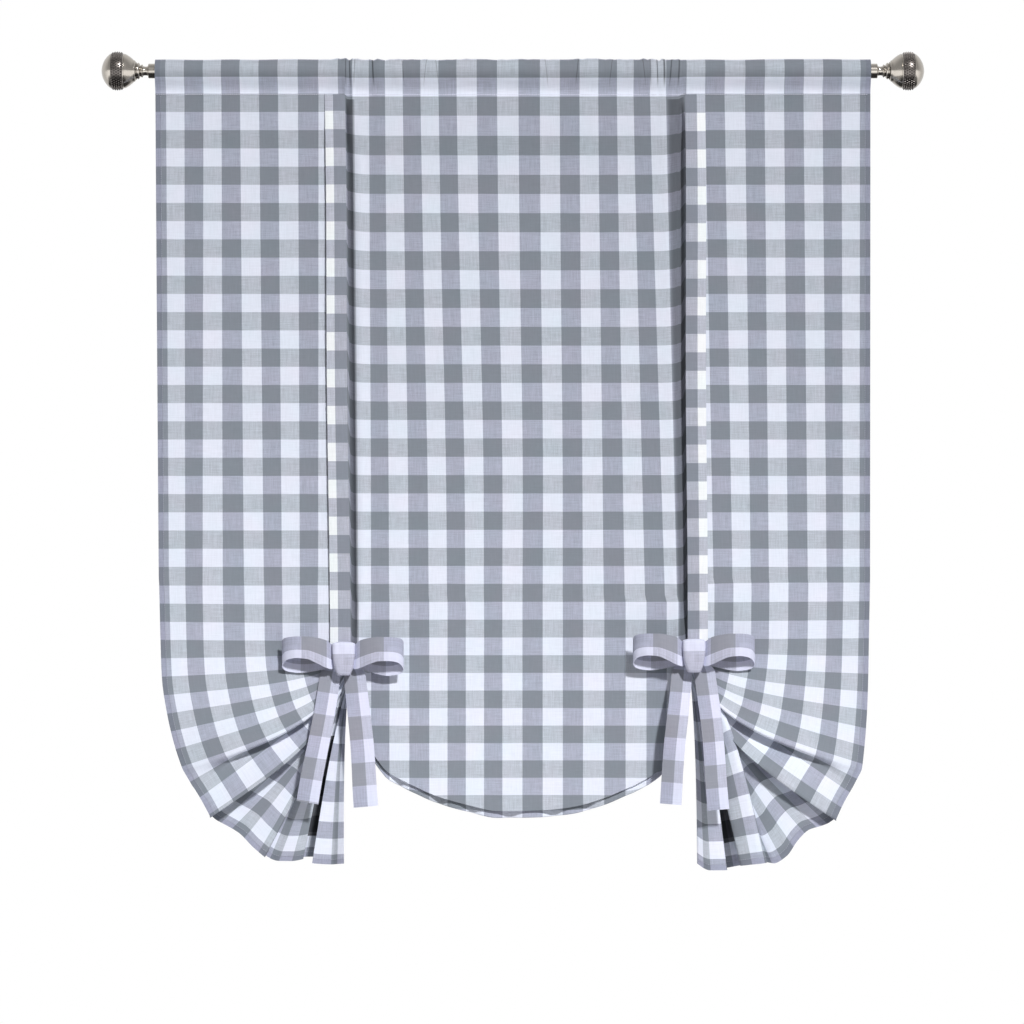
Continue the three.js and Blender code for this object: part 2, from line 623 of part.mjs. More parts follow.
// The neck runs from the rod's end to just short of the ball.
function neckGeometry() {
  const first = { along: 0, radius: 0 };
  const last = { along: neckProfile.at(-1).along, radius: 0 };
  return turned([first, ...neckProfile, last], finial.facets);
}

// The ball is a little flattened: its radius at a distance from its widest place.
function ballRadiusAt(distance) {
  return finial.ballRadius * Math.sqrt(Math.max(1 - (distance / finial.capLength) ** 2, 0));
}

// The inner cap draws in to the neck like a drop.
function innerCapGeometry() {
  const start = neckProfile.at(-1).along + seamGap;
  const end = finial.ballCentre - finial.bandHalfWidth - seamGap;
  const widest = ballRadiusAt(finial.bandHalfWidth);
  const outline = steps(6, 0, 1).map((share) => ({
    along: mix(start, end, share),
    radius: mix(finial.capNeck, widest, Math.sin((share * Math.PI) / 2)),
  }));
  return turned([{ along: start, radius: 0 }, ...outline, { along: end, radius: 0 }], finial.facets);
}

function bandRingGeometry() {
  const half = finial.bandHalfWidth;
  const outline = steps(4, -half, half).map((distance) => ({
    along: finial.ballCentre + distance,
    radius: ballRadiusAt(distance) + finial.bandHeight,
  }));
  const [start, end] = [outline[0].along, outline.at(-1).along];
  return turned([{ along: start, radius: 0 }, ...outline, { along: end, radius: 0 }], finial.facets);
}

function outerCapGeometry() {
  const start = finial.bandHalfWidth + seamGap;
  const angles = steps(5, Math.asin(start / finial.capLength), Math.PI / 2);
  const outline = angles.slice(0, -1).map((angle) => ({
    along: finial.ballCentre + finial.capLength * Math.sin(angle),
    radius: finial.ballRadius * Math.cos(angle),
  }));
  const tip = { along: finial.ballCentre + finial.capLength, radius: 0 };
  return turned([{ along: outline[0].along, radius: 0 }, ...outline, tip], finial.facets);
}

// ---- assembly ----

const paint = {
  gingham: { color: 0xb4b9c2, roughness: 0.95, metalness: 0 },
  tie: { color: 0xc6c6d6, roughness: 0.95, metalness: 0 },
  nickel: { color: 0xb5b0a8, roughness: 0.3, metalness: 1 },
  knurl: { color: 0x5f5b57, roughness: 0.5, metalness: 1 },
};

const shade = new THREE.Group();

function addPiece(name, geometry, finish, group = shade) {
  const mesh = new THREE.Mesh(geometry, new THREE.MeshStandardMaterial(paint[finish]));
  mesh.name = name;
  group.add(mesh);
  return mesh;
}

addPiece('shade_panel', panelGeometry(), 'gingham');

for (const side of ['left', 'right']) {
  addPiece(`front_tie_${side}`, frontTieGeometry(side), 'tie');
  addPiece(`rear_tie_${side}`, rearTieGeometry(side), 'tie');
  addPiece(`bow_knot_${side}`, knotGeometry(side), 'tie');
  addPiece(`bow_loop_${side}_west`, loopGeometry(side, -1), 'tie');
  addPiece(`bow_loop_${side}_east`, loopGeometry(side, 1), 'tie');
  for (const end of tailEnds[side]) {
    addPiece(`bow_tail_${side}_${end.name}`, tailGeometry(side, end), 'tie');
  }
}

const rodMesh = addPiece(
  'rod',
  new THREE.CylinderGeometry(rod.radius, rod.radius, rod.length, rod.facets),
  'nickel',
);
rodMesh.rotation.z = Math.PI / 2;

for (const [side, quarterTurns] of [['left', 1], ['right', -1]]) {
  const end = new THREE.Group();
  end.rotation.z = (quarterTurns * Math.PI) / 2;
  end.position.x = -quarterTurns * (rod.length / 2 + seamGap);
  shade.add(end);
  addPiece(`finial_neck_${side}`, neckGeometry(), 'nickel', end);
  addPiece(`finial_inner_${side}`, innerCapGeometry(), 'nickel', end);
  addPiece(`finial_band_${side}`, bandRingGeometry(), 'knurl', end);
  addPiece(`finial_outer_${side}`, outerCapGeometry(), 'nickel', end);
}

export default shade;
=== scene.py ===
# A gingham tie-up shade on its curtain rod, dressed for rendering. Sizes are in millimetres until
# a mesh is made, where mm turns them into metres. +Z is up and the front faces -Y.
import math

import bpy
import numpy as np
from mathutils import Matrix, Vector


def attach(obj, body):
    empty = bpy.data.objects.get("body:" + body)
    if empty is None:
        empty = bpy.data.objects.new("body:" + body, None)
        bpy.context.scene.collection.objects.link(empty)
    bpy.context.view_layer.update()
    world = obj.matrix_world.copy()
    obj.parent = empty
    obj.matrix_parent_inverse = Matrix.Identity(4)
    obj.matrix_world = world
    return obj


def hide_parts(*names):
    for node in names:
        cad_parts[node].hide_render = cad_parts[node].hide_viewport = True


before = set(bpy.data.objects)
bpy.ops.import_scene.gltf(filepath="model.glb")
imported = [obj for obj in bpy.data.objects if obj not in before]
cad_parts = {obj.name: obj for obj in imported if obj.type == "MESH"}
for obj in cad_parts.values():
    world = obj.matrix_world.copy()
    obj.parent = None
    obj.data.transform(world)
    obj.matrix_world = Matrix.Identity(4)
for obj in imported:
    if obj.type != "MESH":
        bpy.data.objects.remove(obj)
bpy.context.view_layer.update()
bpy.ops.object.select_all(action="DESELECT")
mm = 0.001
print("frame loaded:", len(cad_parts), "nodes")

# ---------- small helpers ----------


def mix(start, end, share):
    return start + (end - start) * share


def clampShare(value):
    return min(max(value, 0.0), 1.0)


def ease(value):
    share = clampShare(value)
    return share * share * (3 - 2 * share)


def bump(value, middle, width):  # a soft hill of height 1
    return math.exp(-(((value - middle) / width) ** 2))


def named(columns, rows):  # a table: one dictionary for each row
    return [dict(zip(columns.split(), row)) for row in rows]


def slopeAt(before, here, after):  # level at a turning point
    rise, fall = here - before, after - here
    return 0 if rise * fall <= 0 else 2 * rise * fall / (rise + fall)


def along(table, share):  # all columns of a table at a share of its length, smooth through its rows
    place = clampShare(share) * (len(table) - 1)
    first = min(int(place), len(table) - 2)
    t = place - first
    a, b, c, d = (table[min(max(first + step, 0), len(table) - 1)] for step in (-1, 0, 1, 2))
    found = {}
    for key in b:
        start, end = slopeAt(a[key], b[key], c[key]), slopeAt(b[key], c[key], d[key])
        found[key] = (
            b[key] * (1 + 2 * t) * (1 - t) ** 2
            + start * t * (1 - t) ** 2
            + c[key] * t**2 * (3 - 2 * t)
            + end * t**2 * (t - 1)
        )
    return found


def shareWhere(table, column, value):  # where a growing column reaches a value
    after = next((i for i, row in enumerate(table) if row[column] > value), len(table) - 1)
    start = max(after - 1, 0)
    width = table[after][column] - table[start][column]
    part = (value - table[start][column]) / width if width > 0 else 0
    return (start + clampShare(part)) / (len(table) - 1)


def evenly(count, start, end):
    return [mix(start, end, i / count) for i in range(count + 1)]


def walked(points):  # how far along their path each of the points lies
    return np.concatenate([[0], np.cumsum(np.linalg.norm(np.diff(points, axis=0), axis=1))])


def onPath(points, travelled, place):
    return np.array([np.interp(place, travelled, points[:, axis]) for axis in range(3)])


# ---------- shader groups ----------


def plug(tree, socket, value):  # a link, or a plain number or colour
    if isinstance(value, bpy.types.NodeSocket):
        tree.links.new(value, socket)
    elif value is not None:
        socket.default_value = value


def calc(tree, operation, *values):
    node = tree.nodes.new("ShaderNodeMath")
    node.operation = operation
    for socket, value in zip(node.inputs, values):
        plug(tree, socket, value)
    return node.outputs[0]


def times(tree, first, *others):
    for other in others:
        first = calc(tree, "MULTIPLY", first, other)
    return first


def plus(tree, first, *others):
    for other in others:
        first = calc(tree, "ADD", first, other)
    return first


def minus(tree, first, second):
    return calc(tree, "SUBTRACT", first, second)


def apart(tree, first, second):
    return calc(tree, "ABSOLUTE", minus(tree, first, second))


def clamped(tree, value, highest=1.0):
    return calc(tree, "MINIMUM", calc(tree, "MAXIMUM", value, 0.0), highest)


def scaledColour(tree, colour, scale):
    node = tree.nodes.new("ShaderNodeVectorMath")
    node.operation = "SCALE"
    plug(tree, node.inputs[0], colour)
    plug(tree, node.inputs["Scale"], scale)
    return node.outputs[0]


def blendColour(tree, kind, factor, first, second):
    node = tree.nodes.new("ShaderNodeMix")
    node.data_type = "RGBA"
    node.blend_type = kind
    plug(tree, node.inputs[0], factor)
    plug(tree, node.inputs[6], first)
    plug(tree, node.inputs[7], second)
    return node.outputs[2]


def joinXyz(tree, x, y, z=0.0):
    node = tree.nodes.new("ShaderNodeCombineXYZ")
    for socket, value in zip(node.inputs, (x, y, z)):
        plug(tree, socket, value)
    return node.outputs[0]


def splitXyz(tree, vector):
    node = tree.nodes.new("ShaderNodeSeparateXYZ")
    plug(tree, node.inputs[0], vector)
    return node.outputs


def cloudy(tree, vector, scale, detail=2.0, roughness=0.5):
    node = tree.nodes.new("ShaderNodeTexNoise")
    plug(tree, node.inputs["Vector"], vector)
    node.inputs["Scale"].default_value = scale
    node.inputs["Detail"].default_value = detail
    node.inputs["Roughness"].default_value = roughness
    return node.outputs["Fac"]


def bumpNormal(tree, height, strength, distance, normal=None):
    node = tree.nodes.new("ShaderNodeBump")
    node.inputs["Strength"].default_value = strength
    node.inputs["Distance"].default_value = distance
    plug(tree, node.inputs["Height"], height)
    plug(tree, node.inputs["Normal"], normal)
    return node.outputs[0]


def newMaterial(name, settings):
    material = bpy.data.materials.new(name)
    material.use_nodes = True
    shader = material.node_tree.nodes["Principled BSDF"]
    for label, value in settings.items():
        shader.inputs[label].default_value = value
    return material, material.node_tree, shader


def newGroup(name, inputs, outputs):
    tree = bpy.data.node_groups.new(name, "ShaderNodeTree")
    for label, kind, value in inputs:
        socket = tree.interface.new_socket(label, in_out="INPUT", socket_type="NodeSocket" + kind)
        if value is not None:
            socket.default_value = value
    for label, kind in outputs:
        tree.interface.new_socket(label, in_out="OUTPUT", socket_type="NodeSocket" + kind)
    return tree, tree.nodes.new("NodeGroupInput").outputs, tree.nodes.new("NodeGroupOutput").inputs


# Plain weave, in threads: which yarn lies on top, how high it stands, and thick and thin yarn.
def makePlainWeave():
    tree, given, out = newGroup(
        "plainWeave",
        [("Cells", "Vector", None), ("Threads In Cell", "Float", 50.0)],
        [("Warp On Top", "Float"), ("Height", "Float"), ("Slub", "Float")],
    )
    across, down, _ = splitXyz(tree, given["Cells"])
    x = times(tree, across, given["Threads In Cell"])
    y = times(tree, down, given["Threads In Cell"])
    crossing = plus(tree, calc(tree, "FLOOR", x), calc(tree, "FLOOR", y))
    onTop = calc(tree, "PINGPONG", crossing, 1.0)
    plug(tree, out["Warp On Top"], onTop)
    warp, weft = (calc(tree, "ABSOLUTE", calc(tree, "SINE", times(tree, yarn, math.pi))) for yarn in (x, y))
    warpHigh = times(tree, warp, onTop)
    weftHigh = times(tree, weft, minus(tree, 1.0, onTop))
    plug(tree, out["Height"], plus(tree, warpHigh, weftHigh))
    yarnLength = 17.0  # in yarn widths
    warpYarn = cloudy(tree, joinXyz(tree, times(tree, across, yarnLength), down), 1.0, 3.0, 0.6)
    weftYarn = cloudy(tree, joinXyz(tree, across, times(tree, down, yarnLength), 7.0), 1.0, 3.0, 0.6)
    plug(tree, out["Slub"], minus(tree, plus(tree, warpYarn, weftYarn), 1.0))
    return tree


# The check: light and dark stripes both ways, with the four colours where they cross.
def makeCheck(weave):
    white = (1.0, 1.0, 1.0, 1.0)
    tree, given, out = newGroup(
        "ginghamCheck",
        [
            ("Cells", "Vector", None),
            ("Both Light", "Color", white),
            ("Dark Row", "Color", white),
            ("Dark Column", "Color", white),
            ("Both Dark", "Color", white),
            ("Yarn Contrast", "Float", 0.5),
        ],
        [("Color", "Color"), ("Height", "Float")],
    )
    across, down, _ = splitXyz(tree, given["Cells"])
    firstLight = 0.6  # the cell across where the first light stripe starts
    stripe = calc(tree, "FRACT", times(tree, minus(tree, across, firstLight), 0.5))
    darkColumn = calc(tree, "GREATER_THAN", stripe, 0.5)
    band = calc(tree, "FRACT", times(tree, down, 0.5))
    darkRow = calc(tree, "LESS_THAN", band, 0.5)
    lightColumns = blendColour(tree, "MIX", darkRow, given["Both Light"], given["Dark Row"])
    darkColumns = blendColour(tree, "MIX", darkRow, given["Dark Column"], given["Both Dark"])
    check = blendColour(tree, "MIX", darkColumn, lightColumns, darkColumns)
    threads = tree.nodes.new("ShaderNodeGroup")
    threads.node_tree = weave
    plug(tree, threads.inputs["Cells"], given["Cells"])
    # Where a light and a dark yarn cross, each shows on its own side, so mixed cells look flecked.
    mixed = apart(tree, darkRow, darkColumn)
    warpTone = minus(tree, threads.outputs["Warp On Top"], 0.5)
    fleck = times(tree, warpTone, times(tree, mixed, 0.28))
    slubDepth = plus(tree, 0.34, times(tree, mixed, 0.7))
    yarn = plus(tree, fleck, times(tree, threads.outputs["Slub"], slubDepth))
    tone = scaledColour(tree, check, plus(tree, 1.0, times(tree, yarn, given["Yarn Contrast"])))
    # The dye drifts slowly between a warmer and a cooler grey.
    drift = cloudy(tree, given["Cells"], 0.55, 1.0)
    cool = blendColour(tree, "MIX", drift, (1.06, 0.985, 1.0, 1.0), (0.955, 1.0, 0.99, 1.0))
    plug(tree, out["Color"], blendColour(tree, "MULTIPLY", 1.0, tone, cool))
    plug(tree, out["Height"], threads.outputs["Height"])
    return tree


plainWeave = makePlainWeave()
ginghamCheck = makeCheck(plainWeave)
print("shader groups made")


def srgb(red, green, blue):  # a colour as it looks on a screen, 0 to 255
    def linear(value):
        value /= 255
        return value / 12.92 if value <= 0.04045 else ((value + 0.055) / 1.055) ** 2.4

    return (linear(red), linear(green), linear(blue), 1.0)


panelCloth = {
    "bothLight": srgb(218, 224, 237),
    "darkRow": srgb(178, 185, 195),
    "darkColumn": srgb(163, 168, 184),
    "bothDark": srgb(127, 134, 143),
}
tieCloth = {
    "bothLight": srgb(217, 220, 240),
    "darkRow": srgb(186, 189, 207),
    "darkColumn": srgb(173, 176, 196),
    "bothDark": srgb(148, 151, 162),
}
litFrontTieCloth = {  # painted light: a brighter copy of the tie cloth's colours, for the front ties that hang in full light
    "bothLight": srgb(238, 243, 245),
    "darkRow": srgb(183, 188, 200),
    "darkColumn": srgb(176, 180, 193),
    "bothDark": srgb(134, 140, 151),
}


# Painted shade in fine dark slits where the pocket is bunched on the rod: cell across, half width and lean.
pocketSlitShades = named("cell width lean", [
    (10.27, 0.05, 0.0),
    (10.48, 0.05, 0.03),
    (10.74, 0.035, -0.05),
    (11.85, 0.07, 0.05),
    (13.6, 0.03, 0.1),
    (14.9, 0.03, -0.12),
    (15.5, 0.03, 0.12),
    (20.9, 0.03, 0.1),
    (22.5, 0.035, -0.1),
    (24.3, 0.03, -0.12),
    (26.2, 0.035, 0.14),
    (26.62, 0.05, 0.02),
    (27.04, 0.06, 0.04),
    (27.48, 0.1, 0.02),
    (27.87, 0.05, -0.08),
    (28.2, 0.05, -0.04),
])
slitShading = {"pivot": 1.6, "fadeFrom": -0.45, "fadeRate": 1.6, "least": 0.25, "deepest": 0.8}

# Light on the panel, by the cells of its cloth: brighter further down, and below the rod where the
# pocket turns up to the lamp.
panelLight = {"top": 0.975, "perCell": 0.0036, "lastCell": 32.0, "belowRod": 0.19}

# Painted shade where little light reaches: the valleys beside the front ties, and the slits beside the
# lowest folds.
valleyShades = named("cell halfWide depth", [(10.48, 0.26, 0.6), (28.05, 0.42, 0.5)])
lowSlitShades = {"down": 51.98, "halfTall": 0.86, "fromMiddle": 15, "halfWide": 2.75, "depth": 0.85}


def pocketShade(tree, across, down):  # painted shade in the slits, fading out above the stitches
    shade = 0.0
    for slit in pocketSlitShades:
        lean = times(tree, plus(tree, down, slitShading["pivot"]), slit["lean"])
        gap = apart(tree, minus(tree, across, slit["cell"]), lean)
        hill = calc(tree, "MAXIMUM", minus(tree, 1.0, calc(tree, "DIVIDE", gap, slit["width"])), 0.0)
        depth = min(slitShading["least"] + slit["width"] * 8, slitShading["deepest"])
        shade = calc(tree, "MAXIMUM", shade, times(tree, hill, depth))
    above = minus(tree, slitShading["fadeFrom"], down)
    return times(tree, shade, clamped(tree, times(tree, above, slitShading["fadeRate"])))


# Painted shade in the pocket slits, the valleys beside the front ties and the slits beside the lowest folds.
def foldShade(tree, across, down):
    shade = pocketShade(tree, across, down)
    aboveBows = calc(tree, "LESS_THAN", down, cloth["fanCell"])
    hanging = times(tree, calc(tree, "GREATER_THAN", down, 0.15), aboveBows)
    for valley in valleyShades:
        gap = calc(tree, "DIVIDE", apart(tree, across, valley["cell"]), valley["halfWide"])
        hill = calc(tree, "MAXIMUM", minus(tree, 1.0, calc(tree, "POWER", gap, 4.0)), 0.0)
        shade = calc(tree, "MAXIMUM", shade, times(tree, hill, valley["depth"], hanging))
    inSlit = calc(tree, "LESS_THAN", apart(tree, down, lowSlitShades["down"]), lowSlitShades["halfTall"])
    fromMiddle = apart(tree, across, cloth["cellsWide"] / 2)
    aboveHem = calc(tree, "LESS_THAN", apart(tree, fromMiddle, lowSlitShades["fromMiddle"]), lowSlitShades["halfWide"])
    shade = calc(tree, "MAXIMUM", shade, times(tree, inSlit, aboveHem, lowSlitShades["depth"]))
    # Only the face that is turned to the front is shaded.
    backward = splitXyz(tree, tree.nodes.new("ShaderNodeNewGeometry").outputs["True Normal"])[1]
    return times(tree, shade, calc(tree, "LESS_THAN", backward, 0.05))


def litPanel(tree, across, down, colour):
    fade = times(tree, clamped(tree, down, panelLight["lastCell"]), panelLight["perCell"])
    inPocket = calc(tree, "LESS_THAN", down, -0.02)
    belowRod = times(tree, calc(tree, "GREATER_THAN", down, -1.0), inPocket)
    tone = plus(tree, panelLight["top"], fade, times(tree, belowRod, panelLight["belowRod"]))
    return scaledColour(tree, colour, times(tree, tone, minus(tree, 1.0, foldShade(tree, across, down))))


def gingham(name, colours, hemCells=None):
    settings = {"Roughness": 0.9, "Specular IOR Level": 0.15, "Sheen Weight": 0.12, "Sheen Roughness": 0.5}
    material, tree, shader = newMaterial(name, settings)
    uv = tree.nodes.new("ShaderNodeUVMap")
    uv.uv_map = "cells"
    check = tree.nodes.new("ShaderNodeGroup")
    check.node_tree = ginghamCheck
    plug(tree, check.inputs["Cells"], uv.outputs[0])
    plug(tree, check.inputs["Both Light"], colours["bothLight"])
    plug(tree, check.inputs["Dark Row"], colours["darkRow"])
    plug(tree, check.inputs["Dark Column"], colours["darkColumn"])
    plug(tree, check.inputs["Both Dark"], colours["bothDark"])
    colour = check.outputs["Color"]
    if hemCells:  # the turned hems are two layers thick, so they look a little deeper
        across, down, _ = splitXyz(tree, uv.outputs[0])
        leftHem = calc(tree, "LESS_THAN", across, hemCells["side"])
        rightHem = calc(tree, "GREATER_THAN", across, cloth["cellsWide"] - hemCells["side"])
        lowHem = calc(tree, "GREATER_THAN", down, cloth["hemCell"] - hemCells["bottom"])
        layers = calc(tree, "MINIMUM", plus(tree, leftHem, rightHem, lowHem), 1.0)
        deeper = blendColour(tree, "MULTIPLY", 1.0, colour, (0.87, 0.86, 0.9, 1.0))
        # Painted light and shade on the panel: brighter further down and below the rod, darker in the slits
        # and valleys.
        colour = litPanel(tree, across, down, blendColour(tree, "MIX", layers, colour, deeper))
    plug(tree, shader.inputs["Base Color"], colour)
    crumple = bumpNormal(tree, cloudy(tree, uv.outputs[0], 1.3, 3.0, 0.55), 0.5, 0.0012)
    relief = bumpNormal(tree, check.outputs["Height"], 0.35, 0.0002, crumple)
    plug(tree, shader.inputs["Normal"], relief)
    return material


# ---------- the panel: sizes and tables ----------

cloth = {
    "thickness": 0.7,
    "cellsWide": 38.2,
    "cellWide": 28.4,
    "cellTall": 27.15,
    "stitchDepth": 34,
    "hemCell": 57,
    "fanCell": 30,
}
rodSize = {"radius": 14, "length": 1065, "bevel": 0.8}
pocket = {"clearance": 2.3, "turnedEnd": 7, "layerGap": 1.7, "crumple": 1.2}
panelPlane = -1
recessDepth = 9
centreSlant = {"rise": 4.5, "reach": 11}
gatherLift = {"rise": 9, "reach": 9}
wingInner = {"left": 9.9, "right": 28.5}

# Where each cell count lies across, at the stitch line and above the bows; how far back it lies, and
# whether its checks follow the wings (0) or the centre (1), which hang a little apart.
spanStations = named("cell top bow depth centred", [
    (0, -533.4, -527.5, 0, 0),
    (0.6, -517.6, -512.3, 0, 0),
    (1.6, -490, -488.5, 0, 0),
    (2.6, -461.6, -463.1, 0, 0),
    (3.6, -434.8, -432.5, 0, 0),
    (4.6, -407.2, -400.5, 0, 0),
    (5.6, -378.8, -370.6, 0, 0),
    (6.6, -350.5, -343.8, 0, 0),
    (7.6, -320.6, -317.6, 0, 0),
    (8.6, -290, -290.8, 0, 0),
    (9.9, -252, -245.5, 0, 0),
    (10.04, -251.4, -244.6, 4, 0),
    (10.2, -250.4, -243, 10, 0.3),
    (10.33, -247.8, -240, 12.6, 0.9),
    (10.46, -243.8, -236, 12, 1),
    (10.6, -239.4, -232.6, 7, 1),
    (10.9, -232, -226, 5.5, 1),
    (11.6, -214.7, -212, 9, 1),
    (12.6, -190.8, -184.6, 9, 1),
    (14.6, -137.9, -125.2, 9, 1),
    (16.6, -84, -70.8, 9, 1),
    (18.6, -23.7, -16.3, 9, 1),
    (20.6, 40.4, 44.2, 9, 1),
    (22.6, 99.4, 104.6, 9, 1),
    (24.6, 155.3, 168.4, 9, 1),
    (26.6, 204.5, 230.7, 9, 1),
    (27.6, 228.4, 247, 8, 1),
    (27.95, 238, 253, 11.4, 1),
    (28.18, 247, 258.5, 12.6, 0.9),
    (28.32, 252, 262.5, 11.8, 0.3),
    (28.42, 254.8, 264.8, 6, 0),
    (28.5, 256, 266, 0, 0),
    (29.6, 286.6, 300.8, 0, 0),
    (30.6, 315.7, 329.1, 0, 0),
    (31.6, 346.3, 356, 0, 0),
    (32.6, 375.4, 382.8, 0, 0),
    (33.6, 404.5, 411.2, 0, 0),
    (34.6, 433.6, 441, 0, 0),
    (35.6, 461.9, 469.4, 0, 0),
    (36.6, 490.3, 493.2, 0, 0),
    (37.6, 517.9, 517.1, 0, 0),
    (38.2, 533.4, 533, 0, 0),
])

# Lines of the cloth that fan out below each knot: from a neck beside the knot to the outer edge.
fanColumns = "cell out down depth neckOut neckDown neckDepth"
leftFan = named(fanColumns, [
    (-3, 275.8, -111, 0, 28, -111, 0),
    (0, 274, -30, 0, 28, -28, 0),
    (2, 272, 25, -1, 28, 14, -3),
    (4, 264, 80, -3, 28, 44, -7),
    (6, 251, 133, -4, 28, 68, -11),
    (7.2, 240, 164, -4, 29, 92, -24),
    (7.4, 237, 169, -4, 29, 94, -14),
    (8.3, 226, 188, -4, 29, 50, 26),
    (8.5, 223, 192, -4, 29, 50, 31),
    (9.4, 209, 215, -7, 28, 88, 6),
    (10.2, 199, 234, -9, 28, 118, -12),
    (10.4, 200, 235, -2, 28, 120, 0),
    (11.6, 201, 230, 12, 29, 62, 34),
    (11.8, 200, 232, 18, 29, 60, 40),
    (12.4, 193, 239, 17, 28, 80, 34),
    (13.4, 178, 247, 15, 28, 104, 27),
    (14.6, 157, 259, 9, 29, 116, 21),
    (15.6, 137, 279, 7, 30, 121, 16),
    (16.4, 120, 294, 8, 31, 126, 12),
    (16.6, 119, 295, 13, 31, 127, 20),
    (17.3, 122, 290, 18, 32, 94, 32),
    (17.5, 121, 291, 22, 32, 92, 36),
    (18.2, 108, 299, 19, 31, 112, 31),
    (19, 98, 301, 15, 30, 118, 28),
    (20, 78.6, 301, 13, 29, 119, 26),
    (20.9, 62, 298, 13, 27, 118, 28),
    (21.05, 64, 298, 19, 28, 118, 32),
    (21.25, 66, 298, 33, 28, 117, 37),
    (22, 60, 297, 47, 24, 117, 43),
    (22.4, 44, 297, 48, 20, 117, 44),
    (22.8, 38, 302, 30, 17, 118, 35),
    (23, 48, 304, 11, 18, 118, 27),
    (24, 20, 306, 12, 10, 118, 26),
    (25, 10.4, 305, 7, 5.5, 118, 23),
    (25.9, 0.6, 304, 2, 1, 118, 20),
    (26.1, 1.5, 304, 8, 1.5, 118, 26),
    (27, 12, 304, 22, 8, 118, 36),
])
rightFan = named(fanColumns, [
    (-3, 263.7, -111, 0, 30, -111, 0),
    (0, 262, -28, 0, 30, -26, 0),
    (2, 261, 25, -1, 30, 16, -3),
    (4, 259, 79, -3, 31, 46, -7),
    (6, 255, 133, -4, 32, 70, -11),
    (7.3, 251, 167, -4, 33, 96, -24),
    (7.5, 249, 172, -4, 33, 98, -14),
    (8.4, 240, 189, -4, 33, 54, 26),
    (8.6, 238, 193, -4, 33, 53, 31),
    (9.7, 224, 217, -7, 32, 90, 6),
    (10.8, 212, 243, -9, 32, 120, -12),
    (11, 213, 244, -2, 32, 122, 0),
    (12, 213, 240, 12, 33, 66, 34),
    (12.2, 212, 242, 18, 33, 64, 40),
    (12.9, 202, 249, 15, 32, 88, 32),
    (13.6, 191, 253, 13, 32, 100, 27),
    (14.6, 174, 258, 11, 32, 108, 20),
    (15.6, 156, 275, 11, 33, 114, 22),
    (16.6, 141, 297, 13, 34, 120, 25),
    (17.6, 122, 309, 16, 36, 122, 28),
    (18.7, 112, 308, 20, 42, 90, 28),
    (18.95, 108, 308, 8, 46, 42, -14),
    (19.45, 99, 309, 4, 40, 44, -18),
    (20, 88, 310, 4, 33, 50, -15),
    (20.9, 71, 312, 7, 20, 96, 2),
    (21.05, 73, 312, 14, 22, 104, 16),
    (21.25, 75, 313, 30, 24, 114, 32),
    (21.8, 68, 315, 47, 26, 121, 44),
    (22.3, 52, 318, 48, 24, 121, 45),
    (22.75, 43, 319, 30, 22, 121, 36),
    (22.95, 51, 319, 12, 26, 121, 28),
    (24, 26, 319, 9, 13, 120, 26),
    (25, 16, 316, 11, 9, 119, 27),
    (25.9, 6.5, 309, 13, 4, 118, 28),
    (26.1, 7, 309, 19, 4, 118, 33),
    (27, 16, 311, 22, 8, 118, 37),
])
fanBulge = 13
knots = {
    "left": {"x": -251.7, "z": -878.7, "outward": -1, "bundleOut": -246, "bundleIn": -233, "fan": leftFan},
    "right": {"x": 269.3, "z": -874.3, "outward": 1, "bundleOut": 266, "bundleIn": 252, "fan": rightFan},
}
bundle = {
    "above": 30,
    "centreAbove": 7,
    "below": 30,
    "depth": 26,
    "tightness": 5,
    "rim": 1,
    "gathersOver": 13,
}

# The centre's bottom edge, measured down from the left knot.
bottomEdge = named("x drop", [
    (-236, 20),
    (-222, 112),
    (-207, 143),
    (-187, 168),
    (-155, 185),
    (-112, 204),
    (-70, 216),
    (-21, 226),
    (40, 225),
    (88, 220),
    (138, 206),
    (183, 187),
    (206, 174),
    (226, 158),
    (240, 126),
    (252, 20),
])
deepestDrop = 226

# Behind that edge the rest of the centre is folded up: share of the cloth, height and depth.
rearFolds = named("share rise depth", [
    (0, 0, 0),
    (0.01, 0, 2.6),
    (0.05, 15, 3.4),
    (0.07, 16, 6.2),
    (0.14, -10, 5.4),
    (0.155, -11, 12),
    (0.24, 30, 18),
    (0.4, 92, 26),
    (0.42, 94, 33),
    (0.55, 52, 35),
    (0.57, 50, 42),
    (0.75, 110, 43),
    (1, 196, 40),
])
centreRows = {"first": 38.5, "step": 29.1, "closing": 0.0439}
frontShare = 5 / 29

# Tucks and puckers where the pocket is pushed along the rod: place, width, height.
rodTucks = named("x width height", [
    (-262, 5, 1.2),
    (-250, 2.2, 2.0),
    (-244, 1.6, -1.6),
    (-239, 2.4, 1.8),
    (-209, 1.6, -1.5),
    (-204, 3, 1.5),
    (-172, 4, 0.9),
    (-130, 5, 0.8),
    (-60, 26, 0.8),
    (4, 6, 0.7),
    (118, 20, 0.8),
    (160, 4, 0.8),
    (196, 3, 1.4),
    (203, 1.8, -1.2),
    (210, 2.6, 1.9),
    (217, 1.8, -1.5),
    (223, 2.4, 1.9),
    (230, 1.8, -1.6),
    (236, 2.4, 1.7),
    (246, 3, 1.4),
    (420, 30, 0.7),
])


def centreRowZ(row):
    return -(centreRows["first"] + centreRows["step"] * row - centreRows["closing"] * row**2)


def wingRowZ(row):
    return -(cloth["stitchDepth"] + cloth["cellTall"] * row)


def centreRowAt(z):
    first, step, closing = centreRows["first"], centreRows["step"], centreRows["closing"]
    return (step - math.sqrt(step**2 - 4 * closing * (-z - first))) / (2 * closing)


